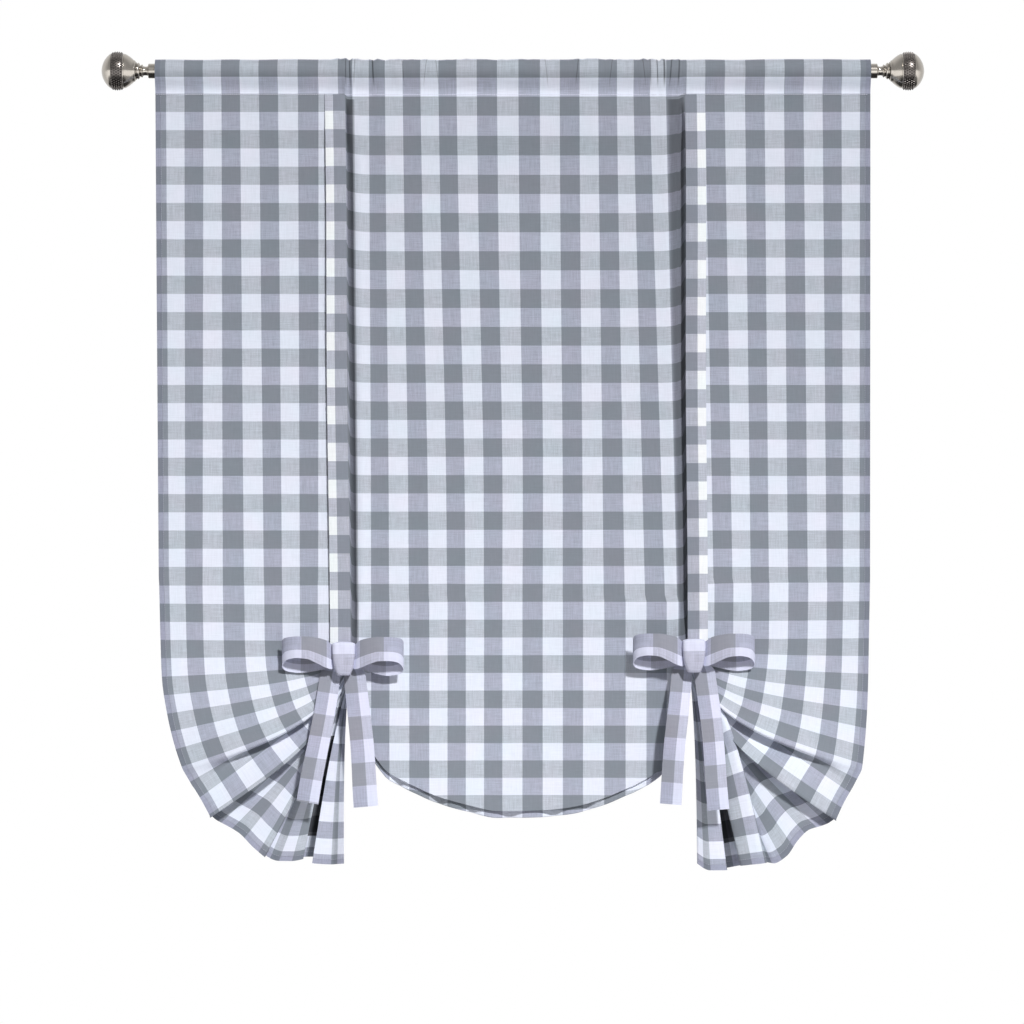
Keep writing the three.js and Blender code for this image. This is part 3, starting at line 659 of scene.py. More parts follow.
def acrossAt(cell, row):
    after = next(i for i, station in enumerate(spanStations) if station["cell"] >= cell)
    start, end = spanStations[max(after, 1) - 1], spanStations[max(after, 1)]
    share = (cell - start["cell"]) / (end["cell"] - start["cell"])
    fall = clampShare(row / cloth["fanCell"])
    x = mix(mix(start["top"], end["top"], share), mix(start["bow"], end["bow"], share), fall)
    x += 3.2 * bump(row, 19, 8) * bump(x, -40, 130)
    return x, mix(start["depth"], end["depth"], share), mix(start["centred"], end["centred"], share)


def tuckAt(x):
    return sum(tuck["height"] * bump(x, tuck["x"], tuck["width"]) for tuck in rodTucks)


def puckerAt(x, slant):  # fine slanting creases where the cloth is bunched along the rod
    bunched = bump(x, -215, 45) + 0.55 * bump(x, -40, 90) + 0.7 * bump(x, 120, 40) + bump(x, 215, 30)
    wave = math.sin((x + slant) / 2.6) + 0.8 * math.sin((x - 1.4 * slant) / 4.3 + 1)
    return 0.75 * bunched * wave


def hangingWave(x, row):  # slow waves of a hanging sheet, and the tucks running out below the rod
    fade = ease(row / 6)
    slow = fade * (1.6 * math.sin(x / 61 + 0.6) + 1.1 * math.sin(x / 97 - row / 7))
    tucks = 0.7 * tuckAt(x) * math.exp(-row / 1.6)
    return slow - tucks


# ---------- the panel: its points ----------


def upperPoint(cell, row):
    x, depth, centred = acrossAt(cell, row)
    z = mix(wingRowZ(row), centreRowZ(row), centred * clampShare(row / 2))
    edge = min(abs(cell - valley) for valley in (10.4, 28.1)) * cloth["cellWide"]
    slant = centreSlant["rise"] * math.exp(-edge / centreSlant["reach"])
    z += centred * slant * ease(row / 3) * ease((26 - row) / 20)
    slit = 7 * (bump(cell, 10.27, 0.12) + bump(cell, 28.3, 0.1))
    slit *= ease((row - 0.35) / 0.6) * ease((5 - row) / 4)
    y = panelPlane + depth * ease((row - 0.4) / 4) + slit + hangingWave(x, row)
    return (x, y, z), row - 0.155 * centred * (1 - clampShare(row / 2))


def pocketPoint(cell, turn):  # turn is 0 at the turned end behind and 1 at the stitch line
    x = acrossAt(cell, 0)[0]
    tuck = tuckAt(x)
    radius = rodSize["radius"] + pocket["clearance"]
    radius += pocket["crumple"] * (0.5 + 0.5 * math.sin(x / 23) * math.cos(x / 37))
    radius += min(max(1.1 * tuck + puckerAt(x, 14 * turn), -1.4), 1.5)
    legShare = 0.3
    rearStitch = panelPlane + pocket["layerGap"]
    halfTurn = 1.7  # cells of cloth that wrap the rod
    stitchRow = -0.155 * acrossAt(cell, 0)[2]  # the centre's checks start a little below the stitches
    if turn < legShare:
        z = mix(-cloth["stitchDepth"] - pocket["turnedEnd"], 0, turn / legShare)
        swing = 0.5 - 0.5 * math.cos(math.pi * clampShare(1 + z / cloth["stitchDepth"]))
        row = -1.4 - halfTurn - mix(1.5, 0, turn / legShare)
        return (x, mix(rearStitch, radius, swing), z), row
    if turn > 1 - legShare:
        fall = (turn - 1 + legShare) / legShare
        swing = 0.5 + 0.5 * math.cos(math.pi * fall)
        y = mix(panelPlane, -radius, swing) - 0.7 * tuck * fall
        return (x, y, -cloth["stitchDepth"] * fall), mix(-1.4, stitchRow, fall)
    angle = math.pi * (turn - legShare) / (1 - 2 * legShare)
    point = (x, radius * math.cos(angle), radius * math.sin(angle))
    return point, -1.4 - halfTurn * (1 - angle / math.pi)


def bundlePoint(knot, x, cellBelow, centred=0):
    below = clampShare(cellBelow / (cloth["hemCell"] - cloth["fanCell"]))
    tightness = bundle["tightness"]
    packed = (1 - math.exp(-below * tightness)) / (1 - math.exp(-tightness))
    above = mix(bundle["above"], bundle["centreAbove"], centred)
    z = knot["z"] + mix(above, -bundle["below"], packed)
    hang = clampShare(-cellBelow / 3)
    top = mix(wingRowZ(cloth["fanCell"] - 3), centreRowZ(cloth["fanCell"] - 3), centred)
    return np.array((x, panelPlane + bundle["depth"] * below, mix(z, top, hang)))


# One line of a wing from the bundle to the outer edge, walked at an even pace.
def fanLine(knot, turn):
    fold = along(knot["fan"], turn)

    def place(out, down, depth):
        return np.array((knot["x"] + knot["outward"] * out, panelPlane + depth, knot["z"] - down))

    start = bundlePoint(knot, knot["bundleOut"], fold["cell"])
    neck = place(fold["neckOut"], fold["neckDown"], fold["neckDepth"])
    edge = place(fold["out"], fold["down"], fold["depth"])
    middle = neck + (edge - neck) * 0.35
    t = np.linspace(0, 1, 81)[:, None]
    curve = (1 - t) ** 3 * start + 3 * t * (1 - t) ** 2 * neck + 3 * t**2 * (1 - t) * middle + t**3 * edge
    travelled = walked(curve)
    return curve, travelled / travelled[-1], fold


pleats = {"height": 2.6, "cells": 1.15, "reach": 0.3}


def fanPoint(line, outShare):
    curve, travelled, fold = line
    share = clampShare(outShare)
    point = onPath(curve, travelled, share)
    point[1] -= fanBulge * math.sin(math.pi * share) * ease(fold["cell"] / 8)
    gather = math.sin(2 * math.pi * fold["cell"] / pleats["cells"]) * ease((10 - fold["cell"]) / 3)
    fade = math.exp(-share / pleats["reach"]) * ease(share / 0.06) * ease((fold["cell"] + 1) / 2)
    point[1] -= pleats["height"] * gather * fade
    row = cloth["fanCell"] + fold["cell"]
    point[1] += hangingWave(point[0], row) * ease(1 - (fold["cell"] + 3) / 6)
    return point, row


# Small gaps open between the centre's edge and the fold that hangs just below it behind.
edgeGaps = named("x width depth", [
    (-170, 7, 7),
    (-109, 9, 8),
    (-62, 10, 8),
    (-5, 13, 9),
    (61, 13, 9),
    (111, 9, 8),
])


def centrePoint(x, turn):
    drop = along(bottomEdge, shareWhere(bottomEdge, "x", x))["drop"]
    topZ = centreRowZ(cloth["fanCell"] + leftFan[0]["cell"])
    bottomZ = knots["left"]["z"] - drop
    plane = panelPlane + recessDepth
    if turn < frontShare:
        z = mix(topZ, bottomZ, turn / frontShare)
        row = centreRowAt(z)
        return np.array((x, plane + hangingWave(x, row), z)), row
    behind = along(rearFolds, (turn - frontShare) / (1 - frontShare))
    edgeRow = centreRowAt(bottomZ)
    fullness = drop / deepestDrop
    rise = behind["rise"] * (1 if behind["rise"] < 0 else fullness)
    opened = ease((behind["share"] - 0.08) / 0.035) * ease((0.4 - behind["share"]) / 0.2)
    opened *= sum(gap["depth"] * bump(x, gap["x"], gap["width"]) for gap in edgeGaps)
    y = opened + plane + hangingWave(x, edgeRow) + behind["depth"] * mix(0.7, 1, fullness)
    return np.array((x, y, bottomZ + rise)), mix(edgeRow, cloth["hemCell"], behind["share"])


def lowerRow(cells, turn):
    lines = {side: fanLine(knots[side], turn) for side in knots}
    points = []
    for cell in cells:
        x, depth, centred = acrossAt(cell, cloth["fanCell"])
        side = "left" if cell < cloth["cellsWide"] / 2 else "right"
        knot = knots[side]
        outermost = 0 if side == "left" else cloth["cellsWide"]
        inner, outer = (acrossAt(end, cloth["fanCell"])[0] for end in (wingInner[side], outermost))
        outShare = (x - inner) / (outer - inner)
        if outShare >= 0:
            point, row = fanPoint(lines[side], outShare)
        else:
            clear = abs(x - knot["bundleIn"]) - bundle["rim"]
            settled = 0 if centred < 1 else ease(clear / bundle["gathersOver"])
            hanging, centreRow = centrePoint(x, turn)
            hanging[1] += (depth - recessDepth) * clampShare((centreRow - cloth["fanCell"]) / -3)
            lift = gatherLift["rise"] * bump(abs(x - knot["bundleIn"]), 10, gatherLift["reach"])
            hanging[2] += lift * ease(turn * 9 - 1)
            cellBelow = mix(lines[side][2]["cell"], centreRow - cloth["fanCell"], centred)
            gathered = bundlePoint(knot, x, cellBelow, centred)
            hang = clampShare(-cellBelow / 3)
            gathered[1] += mix(0, depth + hangingWave(x, centreRow), ease(hang))
            point = mix(gathered, hanging, settled)
            row = cloth["fanCell"] + cellBelow
        points.append((tuple(point), row))
    return points


# ---------- meshes from points and faces ----------


# A mesh from points in millimetres; cells, where given, holds each point's place on the cloth.
def meshPiece(name, points, faces, material, cells=None, sharpFrom=None):
    mesh = bpy.data.meshes.new(name)
    mesh.from_pydata((np.array(points) * mm).tolist(), [], [tuple(face) for face in faces])
    if cells is not None:
        corners = np.empty(len(mesh.loops), int)
        mesh.loops.foreach_get("vertex_index", corners)
        uv = mesh.uv_layers.new(name="cells")
        uv.data.foreach_set("uv", np.array(cells, float)[corners].reshape(-1))
    mesh.materials.append(material)
    mesh.polygons.foreach_set("use_smooth", [True] * len(mesh.polygons))
    mesh.update()
    if sharpFrom:
        mesh.set_sharp_from_angle(angle=math.radians(sharpFrom))
    piece = bpy.data.objects.new(name, mesh)
    bpy.context.scene.collection.objects.link(piece)
    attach(piece, "root")
    return piece


def unit(vectors):
    return vectors / np.maximum(np.linalg.norm(vectors, axis=-1, keepdims=True), 1e-9)


# A closed sheet on a grid of points in millimetres; cells holds each point's place on the cloth.
def sheetPiece(name, grid, cells, thickness, material):
    grid = np.array(grid, float)
    rows, columns = grid.shape[:2]
    padded = np.pad(grid, ((1, 1), (1, 1), (0, 0)), mode="edge")
    core = padded[1:-1, 1:-1]
    alongIt = unit(core - padded[:-2, 1:-1]) + unit(padded[2:, 1:-1] - core)
    acrossIt = unit(core - padded[1:-1, :-2]) + unit(padded[1:-1, 2:] - core)
    normal = unit(np.cross(acrossIt, alongIt))
    layers = [grid - normal * thickness / 2, grid + normal * thickness / 2]
    points = np.concatenate([layer.reshape(-1, 3) for layer in layers])
    number = np.arange(rows * columns).reshape(rows, columns)
    a, b, c, d = number[:-1, :-1], number[1:, :-1], number[1:, 1:], number[:-1, 1:]
    front = np.stack([a, b, c, d], -1).reshape(-1, 4)
    back = np.stack([a, d, c, b], -1).reshape(-1, 4) + rows * columns
    rims = []
    edges = (number[:, 0], False), (number[:, -1], True), (number[0, :], True), (number[-1, :], False)
    for edge, flip in edges:
        here, there = edge[:-1], edge[1:]
        quad = [here, here + rows * columns, there + rows * columns, there]
        rims.append(np.stack(quad[::-1] if flip else quad, -1))
    faces = np.concatenate([front, back, *rims]).tolist()
    bothLayers = np.concatenate([np.array(cells, float).reshape(-1, 2)] * 2)
    return meshPiece(name, points, faces, material, bothLayers, sharpFrom=65)


panelMaterial = gingham("panelGingham", panelCloth, {"side": 0.3, "bottom": 0.5})
tieMaterial = gingham("tieGingham", tieCloth)
# Painted light: the front ties use a brighter copy of the tie cloth's colours.
litFrontTieMaterial = gingham("litFrontTieGingham", litFrontTieCloth)

panelMesh = {
    "wingColumns": 44,
    "centreColumns": 66,
    "pocketRows": 26,
    "upperRows": 68,
    "rowsPerFold": 4,
}


def panelColumns():
    wing = [share**0.8 for share in evenly(panelMesh["wingColumns"], 0, 1)]
    left = [wingInner["left"] * share for share in wing[:-1]]
    right = [mix(cloth["cellsWide"], wingInner["right"], share) for share in wing[:-1]]
    leftFold = [9.9, 9.97, 10.04, 10.12, 10.2, 10.27, 10.33, 10.4, 10.46, 10.53, 10.6, 10.7, 10.8]
    rightFold = [27.35, 27.6, 27.78, 27.95, 28.07, 28.18, 28.25, 28.32, 28.37, 28.42, 28.46, 28.5]
    centre = evenly(panelMesh["centreColumns"], 10.9, 27.2)
    return [*left, *leftFold, *centre, *rightFold, *reversed(right)]


def makePanel():
    cells = panelColumns()
    pocketTurns = evenly(panelMesh["pocketRows"], 0, 0.999)[:-1]
    rows = [[pocketPoint(cell, turn) for cell in cells] for turn in pocketTurns]
    upperRows = evenly(panelMesh["upperRows"], 0, cloth["fanCell"] + leftFan[0]["cell"])[:-1]
    rows += [[upperPoint(cell, row) for cell in cells] for row in upperRows]
    folds = (len(leftFan) - 1) * panelMesh["rowsPerFold"]
    rows += [lowerRow(cells, turn) for turn in evenly(folds, 0, 1)]
    grid = [[point for point, _ in row] for row in rows]
    places = [[(cell, point[1]) for cell, point in zip(cells, row)] for row in rows]
    piece = sheetPiece("shadePanel", grid, places, cloth["thickness"], panelMaterial)
    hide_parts("shade_panel")
    return piece


shadePanel = makePanel()
print("panel made:", len(shadePanel.data.polygons), "faces")

# ---------- ties and bows ----------

sideways = np.array((1.0, 0.0, 0.0))
forward = np.array((0.0, -1.0, 0.0))
tieSize = {
    "width": 30,
    "thickness": 0.9,
    "cellTall": 27.5,
    "cellsAcross": 1.06,
    "topX": {"left": -265.5, "right": 271.8},
    "plane": -6.5,
    "reach": 6,
}


# A band of cloth: stations hold the middle, the way its width points, the width and its check row.
# stripeEdge is a cell where a stripe starts, and the share of the band's width at which it lies.
def bandPiece(name, stations, stripeEdge, cellsAcross, crown=0.0, material=tieMaterial):
    checkStart = stripeEdge[0] - stripeEdge[1] * cellsAcross
    shares = evenly(8, 0, 1)
    grid, cells = [], []
    for station in stations:
        way = station["way"] / np.linalg.norm(station["way"])
        row = []
        for share in shares:
            hill = crown * (1 - (2 * share - 1) ** 2)
            row.append(station["middle"] + way * (share - 0.5) * station["width"] + forward * hill)
        grid.append(row)
        cells.append([(checkStart + share * cellsAcross, station["row"]) for share in shares])
    return sheetPiece(name, grid, cells, tieSize["thickness"], material)


def declareTie(node):
    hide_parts(node)


def makeFrontTie(side):
    knot = knots[side]
    top = -cloth["stitchDepth"] - 1
    bottom = knot["z"] + 8
    startX = tieSize["topX"][side]
    seam = panelPlane - cloth["thickness"] / 2 - tieSize["thickness"] / 2 - 0.4
    stations = []
    for share in evenly(60, 0, 1):
        z = mix(top, bottom, share)
        y = mix(seam, tieSize["plane"], ease(share / 0.1)) + 0.5 * math.sin(share * 17 + startX)
        x = mix(startX, knot["x"] + knot["outward"] * tieSize["reach"], share) + 0.7 * math.sin(share * 9)
        row = (top - z) / tieSize["cellTall"] + (0.1 if side == "left" else 0.0)
        middle = np.array((x, y, z))
        stations.append({"middle": middle, "way": sideways, "width": tieSize["width"], "row": row})
    # The light stripe lies on the side away from the centre.
    stripeEdge = (1.6, 0.4) if side == "left" else (2.6, 0.58)
    name, material = f"frontTie{side.title()}", litFrontTieMaterial
    piece = bandPiece(name, stations, stripeEdge, tieSize["cellsAcross"], crown=0.8, material=material)
    declareTie(f"front_tie_{side}")


def makeRearTie(side):
    knot = knots[side]
    x = (knot["bundleOut"] + knot["bundleIn"]) / 2
    top = -cloth["stitchDepth"] - pocket["turnedEnd"] - 2
    behind = panelPlane + bundle["depth"] + 5
    under = knot["z"] - bundle["below"] - 5
    route = named("y z width", [
        (panelPlane + 2, top, 30),
        (16.5, top - 40, 30),
        (18, top - 250, 30),
        (19.5, top - 550, 30),
        (22, knot["z"] + 90, 30),
        (behind, knot["z"] + 30, 18),
        (behind, knot["z"] - 12, 9),
        (behind, under + 8, 9),
        (behind - 6, under, 9),
        (4, under - 2, 9),
        (-3.4, under + 6, 9),
        (-4.4, knot["z"] - 16, 9),
    ])
    spots = [along(route, share) for share in evenly(110, 0, 1)]
    middles = [np.array((x, spot["y"], spot["z"])) for spot in spots]
    stations = []
    for spot, middle, travelled in zip(spots, middles, walked(middles)):
        row = travelled / tieSize["cellTall"]
        stations.append({"middle": middle, "way": sideways, "width": spot["width"], "row": row})
    piece = bandPiece(f"rearTie{side.title()}", stations, (1.2, 0), tieSize["cellsAcross"])
    declareTie(f"rear_tie_{side}")


# One bow loop, from the knot out along the front, round its tip and back behind. row is the check.
loopRows = named("reach depth top bottom row", [
    (12, -17, 20, -10, -0.35),
    (18, -23.5, 24, -13, -0.2),
    (26, -29, 30, -10.5, 0.02),
    (40, -34, 34, -3.5, 0.4),
    (54, -36.5, 36, 2.5, 0.77),
    (68, -36, 36, 4, 1.15),
    (80, -32.5, 35, 2.5, 1.35),
    (88, -27, 33, -2, 1.46),
    (91.5, -20.5, 27.5, -9, 1.55),
    (89, -15, 21.5, -14, 1.65),
    (80, -12, 17, -17.5, 1.8),
    (66, -11, 14.5, -19, 1.97),
    (50, -11, 13.5, -17.5, 2.35),
    (34, -12, 14, -14.5, 2.7),
    (22, -13, 15.5, -12.5, 3.0),
    (12, -12.6, 16, -10, 3.2),
])
loops = [
    {"side": "left", "name": "west", "way": -1, "stretch": 1.0, "sag": 0.0},
    {"side": "left", "name": "east", "way": 1, "stretch": 0.97, "sag": 4.5},
    {"side": "right", "name": "west", "way": -1, "stretch": 0.985, "sag": 0.5},
    {"side": "right", "name": "east", "way": 1, "stretch": 0.985, "sag": 1.5},
]


def makeLoop(loop):
    knot = knots[loop["side"]]
    stations = []
    for share in evenly(96, 0, 1):
        spot = along(loopRows, share)
        droop = loop["sag"] * ease((spot["reach"] - 20) / 50)
        top = spot["top"] - droop * 0.2
        bottom = spot["bottom"] - droop
        x = knot["x"] + loop["way"] * spot["reach"] * loop["stretch"]
        middle = np.array((x, spot["depth"], knot["z"] + (top + bottom) / 2))
        tilt = 4.0 if share < 0.5 else -2.0
        way = np.array((0.0, tilt * math.sin(math.pi * share) ** 2 / 10, top - bottom))
        stations.append({"middle": middle, "way": way, "width": top - bottom, "row": spot["row"]})
    if loop["way"] < 0:
        stations.reverse()
    side = loop["side"].title()
    piece = bandPiece(f"bowLoop{side}{loop['name'].title()}", stations, (1.6, 0.39), 1.15)
    node = f"bow_loop_{loop['side']}_{loop['name']}"
    declareTie(node)


tails = named("side name topX topWidth bottomX bottomDown bottomWidth checkTop checkStep", [
    ("left", "outer", -19.7, 30.5, -52.5, 211, 33, 16.6, 32),
    ("left", "inner", 17, 32.5, 34.7, 217, 36.5, 14.3, 34.3),
    ("right", "inner", -18.1, 31, -35.7, 218, 32, 18.8, 33.4),
    ("right", "outer", 17.2, 31.5, 37.4, 226, 32, 21.9, 34.4),
])
tailSize = {"topDown": 4, "startWidth": 14, "width": 33, "front": -31}


def makeTail(tail):
    knot = knots[tail["side"]]
    stations = []
    for share in evenly(72, 0, 1):
        down = mix(tailSize["topDown"], tail["bottomDown"], share)
        opened = ease(down / 24)
        x = knot["x"] + mix(tail["topX"] * 0.55, tail["topX"], ease(down / 22))
        x += (tail["bottomX"] - tail["topX"]) * clampShare((down - 20) / (tail["bottomDown"] - 20))
        x += 1.2 * math.sin(down / 34 + tail["topX"])
        y = mix(-5.8, tailSize["front"], ease(share * 2.1)) + 1.5 * math.sin(share * 7 + tail["topX"])
        middle = np.array((x, y, knot["z"] - down))
        width = mix(tailSize["startWidth"], mix(tail["topWidth"], tail["bottomWidth"], share), opened)
        slant = (tail["bottomX"] - tail["topX"]) / tail["bottomDown"]
        way = np.array((1.0, 0.12 * math.sin(share * 5 + tail["topX"]), slant))
        row = (down - tail["checkTop"]) / tail["checkStep"]
        stations.append({"middle": middle, "way": way, "width": width, "row": row})
    side = tail["side"].title()
    name = f"bowTail{side}{tail['name'].title()}"
    piece = bandPiece(name, stations, (2.6, 0.58), 1.12, crown=1.0)
    node = f"bow_tail_{tail['side']}_{tail['name']}"
    declareTie(node)


# The knot: the tie wrapped over the bow, flat in front, arched on top and drawn in below.
knotSections = named("z width front back", [
    (-22.5, 15, -28.5, -12),
    (-21.6, 19.5, -31, -9.5),
    (-18, 23, -32.6, -8.6),
    (-11, 28, -33.6, -8),
    (-2, 31.5, -34.2, -7.8),
    (8, 33.8, -34.3, -7.8),
    (18, 34.4, -33.8, -8),
    (24.5, 34.2, -33, -8.4),
    (27, 33.4, -31.6, -9.4),
    (27.9, 31, -29, -12),
])


def makeKnot(side):
    knot = knots[side]
    facets = 56
    squareness = 0.42  # 1 is round, and 0 is a box
    vertices, cells = [], []
    levels = [along(knotSections, share) for share in evenly(34, 0, 1)]
    for level in levels:
        middle = (level["front"] + level["back"]) / 2
        depth = (level["back"] - level["front"]) / 2
        for i in range(facets):
            angle = 2 * math.pi * i / facets
            circle = math.cos(angle), math.sin(angle)
            across, inward = (math.copysign(abs(part) ** squareness, part) for part in circle)
            arch = -2.2 * across**2 * ease((level["z"] - 14) / 12)
            crease = 0.9 * bump(across, -0.3 - level["z"] / 160, 0.13)
            crease += 0.7 * bump(across, 0.4 + level["z"] / 120, 0.1)
            y = middle + inward * depth + (crease if inward < 0 else 0)
            vertices.append((knot["x"] + across * level["width"] / 2, y, knot["z"] + level["z"] + arch))
            cells.append((0.7 + 0.42 * (across + 1), (9.7 - level["z"]) / 34))
    faces = []
    for level in range(len(levels) - 1):
        for i in range(facets):
            here, after = level * facets + i, level * facets + (i + 1) % facets
            faces.append((here, after, after + facets, here + facets))
    faces.append(tuple(reversed(range(facets))))
    faces.append(tuple(range(len(vertices) - facets, len(vertices))))
    piece = meshPiece(f"bowKnot{side.title()}", vertices, faces, tieMaterial, cells)
    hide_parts(f"bow_knot_{side}")


for side in ("left", "right"):
    makeFrontTie(side)
    makeRearTie(side)
    makeKnot(side)
for loop in loops:
    makeLoop(loop)
for tail in tails:
    makeTail(tail)
print("ties and bows made")

# ---------- rod and finials ----------


brushing = {"along": 1500.0, "around": 20.0}  # lines of the brush in a metre


def metal(name, colour, roughness):
    material, tree, shader = newMaterial(name, {"Metallic": 1.0})
    place = tree.nodes.new("ShaderNodeTexCoord").outputs["Object"]
    x, y, z = splitXyz(tree, place)
    x = times(tree, x, brushing["along"])
    y, z = (times(tree, part, brushing["around"]) for part in (y, z))
    grain = cloudy(tree, joinXyz(tree, x, y, z), 1.0, 3.0, 0.6)
    tarnish = cloudy(tree, place, 60.0, 2.0)
    darker = tuple(part * 0.8 for part in colour[:3]) + (1.0,)
    plug(tree, shader.inputs["Base Color"], blendColour(tree, "MIX", tarnish, colour, darker))
    plug(tree, shader.inputs["Roughness"], plus(tree, roughness - 0.06, times(tree, grain, 0.12)))
    plug(tree, shader.inputs["Normal"], bumpNormal(tree, grain, 0.15, 0.0001))
    return material


nickel = metal("satinNickel", srgb(182, 176, 168), 0.2)
darkNickel = metal("darkenedNickel", srgb(112, 107, 104), 0.3)


def finishHard(name, node, material):
    piece = bpy.context.object
    piece.name = piece.data.name = name
    bpy.ops.object.transform_apply(location=True, rotation=True, scale=True)
    bpy.ops.object.shade_smooth_by_angle(angle=math.radians(40))
    piece.data.materials.clear()
    piece.data.materials.append(material)
    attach(piece, "root")
    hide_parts(node)
    return piece


def makeRod():
    bpy.ops.object.select_all(action="DESELECT")
    bpy.ops.mesh.primitive_cylinder_add(
        vertices=72,
        radius=rodSize["radius"] * mm,
        depth=rodSize["length"] * mm,
        rotation=(0, math.pi / 2, 0),
    )
    edge = bpy.context.object.modifiers.new("edge", "BEVEL")
    edge.width = rodSize["bevel"] * mm
    edge.segments = 3
    bpy.ops.object.modifier_apply(modifier="edge")
    finishHard("curtainRod", "rod", nickel)


# Profiles run outward from the rod's end: distance along the rod, and radius.
finialProfiles = {
    "neck": named("along radius", [
        (0, 10.2),
        (0.8, 11),
        (10.2, 11),
        (11, 10.2),
        (11.6, 7.6),
        (13, 6.8),
        (16.5, 6.7),
        (18.5, 7.4),
        (19.2, 9.2),
        (20.4, 9.8),
        (21.6, 9.2),
        (22.1, 8.2),
        (22.8, 8.2),
        (23.4, 10.4),
        (25.2, 12.2),
        (26.6, 12.4),
        (27.2, 11.4),
        (27.8, 11.4),
        (28.4, 13.2),
        (29, 13.4),
    ]),
    "inner": named("along radius", [
        (29.4, 13.6),
        (31, 15.8),
        (31.8, 16),
        (32.4, 16.2),
        (35, 18.7),
        (38, 21.1),
        (41, 23.2),
        (44, 24.9),
        (46.2, 25.8),
        (46.8, 25.4),
        (47.6, 25.6),
        (48.2, 26.3),
    ]),
    "band": named("along radius", [
        (48.6, 26.2),
        (49.4, 26.7),
        (52, 27.3),
        (55, 27.7),
        (58, 27.8),
        (61, 27.6),
        (64.8, 26.7),
        (65.6, 26.2),
    ]),
    "outer": named("along radius", [
        (66, 26.1),
        (66.8, 25.6),
        (67.6, 25.5),
        (69.5, 24.1),
        (72, 21.8),
        (74.5, 18.8),
        (76.6, 15.5),
        (78.4, 11.8),
        (79.7, 7.9),
        (80.5, 4),
        (80.8, 0.8),
    ]),
}
finialParts = {"facets": 72, "start": rodSize["length"] / 2 + 0.4}
studs = {"rings": 5, "around": 44, "size": 2.5, "height": 1.3, "spacing": 3.25, "middle": 57.1}


def turnedPiece(profile, sign):
    start = sign * finialParts["start"]
    bpy.ops.object.select_all(action="DESELECT")
    bpy.ops.mesh.primitive_circle_add(
        vertices=finialParts["facets"],
        radius=profile[0]["radius"] * mm,
        fill_type="NGON",
        location=((start + sign * profile[0]["along"]) * mm, 0, 0),
        rotation=(0, math.pi / 2, 0),
    )
    bpy.ops.object.mode_set(mode="EDIT")
    for here, after in zip(profile, profile[1:]):
        step = sign * (after["along"] - here["along"]) * mm
        bpy.ops.mesh.extrude_region_move(TRANSFORM_OT_translate={"value": (step, 0, 0)})
        grow = after["radius"] / here["radius"]
        middle = ((start + sign * after["along"]) * mm, 0, 0)
        bpy.ops.transform.resize(value=(1, grow, grow), center_override=middle)
    bpy.ops.mesh.select_all(action="SELECT")
    bpy.ops.mesh.normals_make_consistent(inside=False)
    bpy.ops.object.mode_set(mode="OBJECT")


def addStuds(core, sign):  # the band is knurled with rings of low four-sided points
    start = sign * finialParts["start"]
    foot, top = (studs["size"] * share * mm for share in (0.7, 0.22))
    bpy.ops.object.select_all(action="DESELECT")
    bpy.ops.mesh.primitive_cone_add(vertices=4, radius1=foot, radius2=top, depth=studs["height"] * mm)
    stud = bpy.context.object
    copies = []
    profile = finialProfiles["band"]
    for ring in range(studs["rings"]):
        place = studs["middle"] + (ring - (studs["rings"] - 1) / 2) * studs["spacing"]
        share = shareWhere(profile, "along", place)
        radius = along(profile, share)["radius"] + studs["height"] * 0.35
        for i in range(studs["around"]):
            turn = Matrix.Rotation(2 * math.pi * (i + 0.5 * (ring % 2)) / studs["around"], 4, "X")
            out = Matrix.Translation(((start + sign * place) * mm, 0, radius * mm))
            copy = stud.copy()
            copy.data = stud.data.copy()
            copy.matrix_world = turn @ out @ Matrix.Rotation(math.pi / 4, 4, "Z")
            bpy.context.scene.collection.objects.link(copy)
            copies.append(copy)
    bpy.data.objects.remove(stud)
    for copy in copies:
        copy.select_set(True)
    core.select_set(True)
    bpy.context.view_layer.objects.active = core
    bpy.ops.object.join()


for side, sign in (("left", -1), ("right", 1)):
    for part, profile in finialProfiles.items():
        turnedPiece(profile, sign)
        if part == "band":
            addStuds(bpy.context.object, sign)
        slot, material = ("knurl", darkNickel) if part == "band" else ("rod_nickel", nickel)
        finishHard(f"finial{part.title()}{side.title()}", f"finial_{part}_{side}", material)
makeRod()
print("rod and finials made")

# ---------- stitching ----------

thread = {"length": 2.7, "pitch": 3.3, "thickness": 0.75, "facets": 6}


def makeStitches(name, path, material):  # one short capsule copied along a path of points on the cloth
    bpy.ops.object.select_all(action="DESELECT")
    radius = 0.5 * thread["thickness"]
    bpy.ops.mesh.primitive_uv_sphere_add(segments=thread["facets"], ring_count=5, radius=radius)
    seed = bpy.context.object
    capsule = np.array([tuple(v.co) for v in seed.data.vertices])
    faces = [tuple(p.vertices) for p in seed.data.polygons]
    bpy.data.objects.remove(seed)
    capsule[:, 2] += np.sign(np.round(capsule[:, 2], 4)) * (thread["length"] - thread["thickness"]) / 2
    path = np.array(path)
    travelled = walked(path)
    points, allFaces = [], []
    for i in range(int(travelled[-1] / thread["pitch"])):
        middle = (i + 0.5) * thread["pitch"]
        way = onPath(path, travelled, middle + 1) - onPath(path, travelled, middle - 1)
        turned = np.array(Vector(way).to_track_quat("Z", "Y").to_matrix())
        allFaces += [tuple(index + len(points) for index in face) for face in faces]
        points += (capsule @ turned.T + onPath(path, travelled, middle)).tolist()
    piece = meshPiece(name, points, allFaces, material)


def makeThread(name, light, deep):
    material, tree, shader = newMaterial(name, {"Roughness": 0.7})
    place = tree.nodes.new("ShaderNodeTexCoord").outputs["Object"]
    tone = cloudy(tree, place, 900.0, 1.0)
    plug(tree, shader.inputs["Base Color"], blendColour(tree, "MIX", tone, light, deep))
    return material


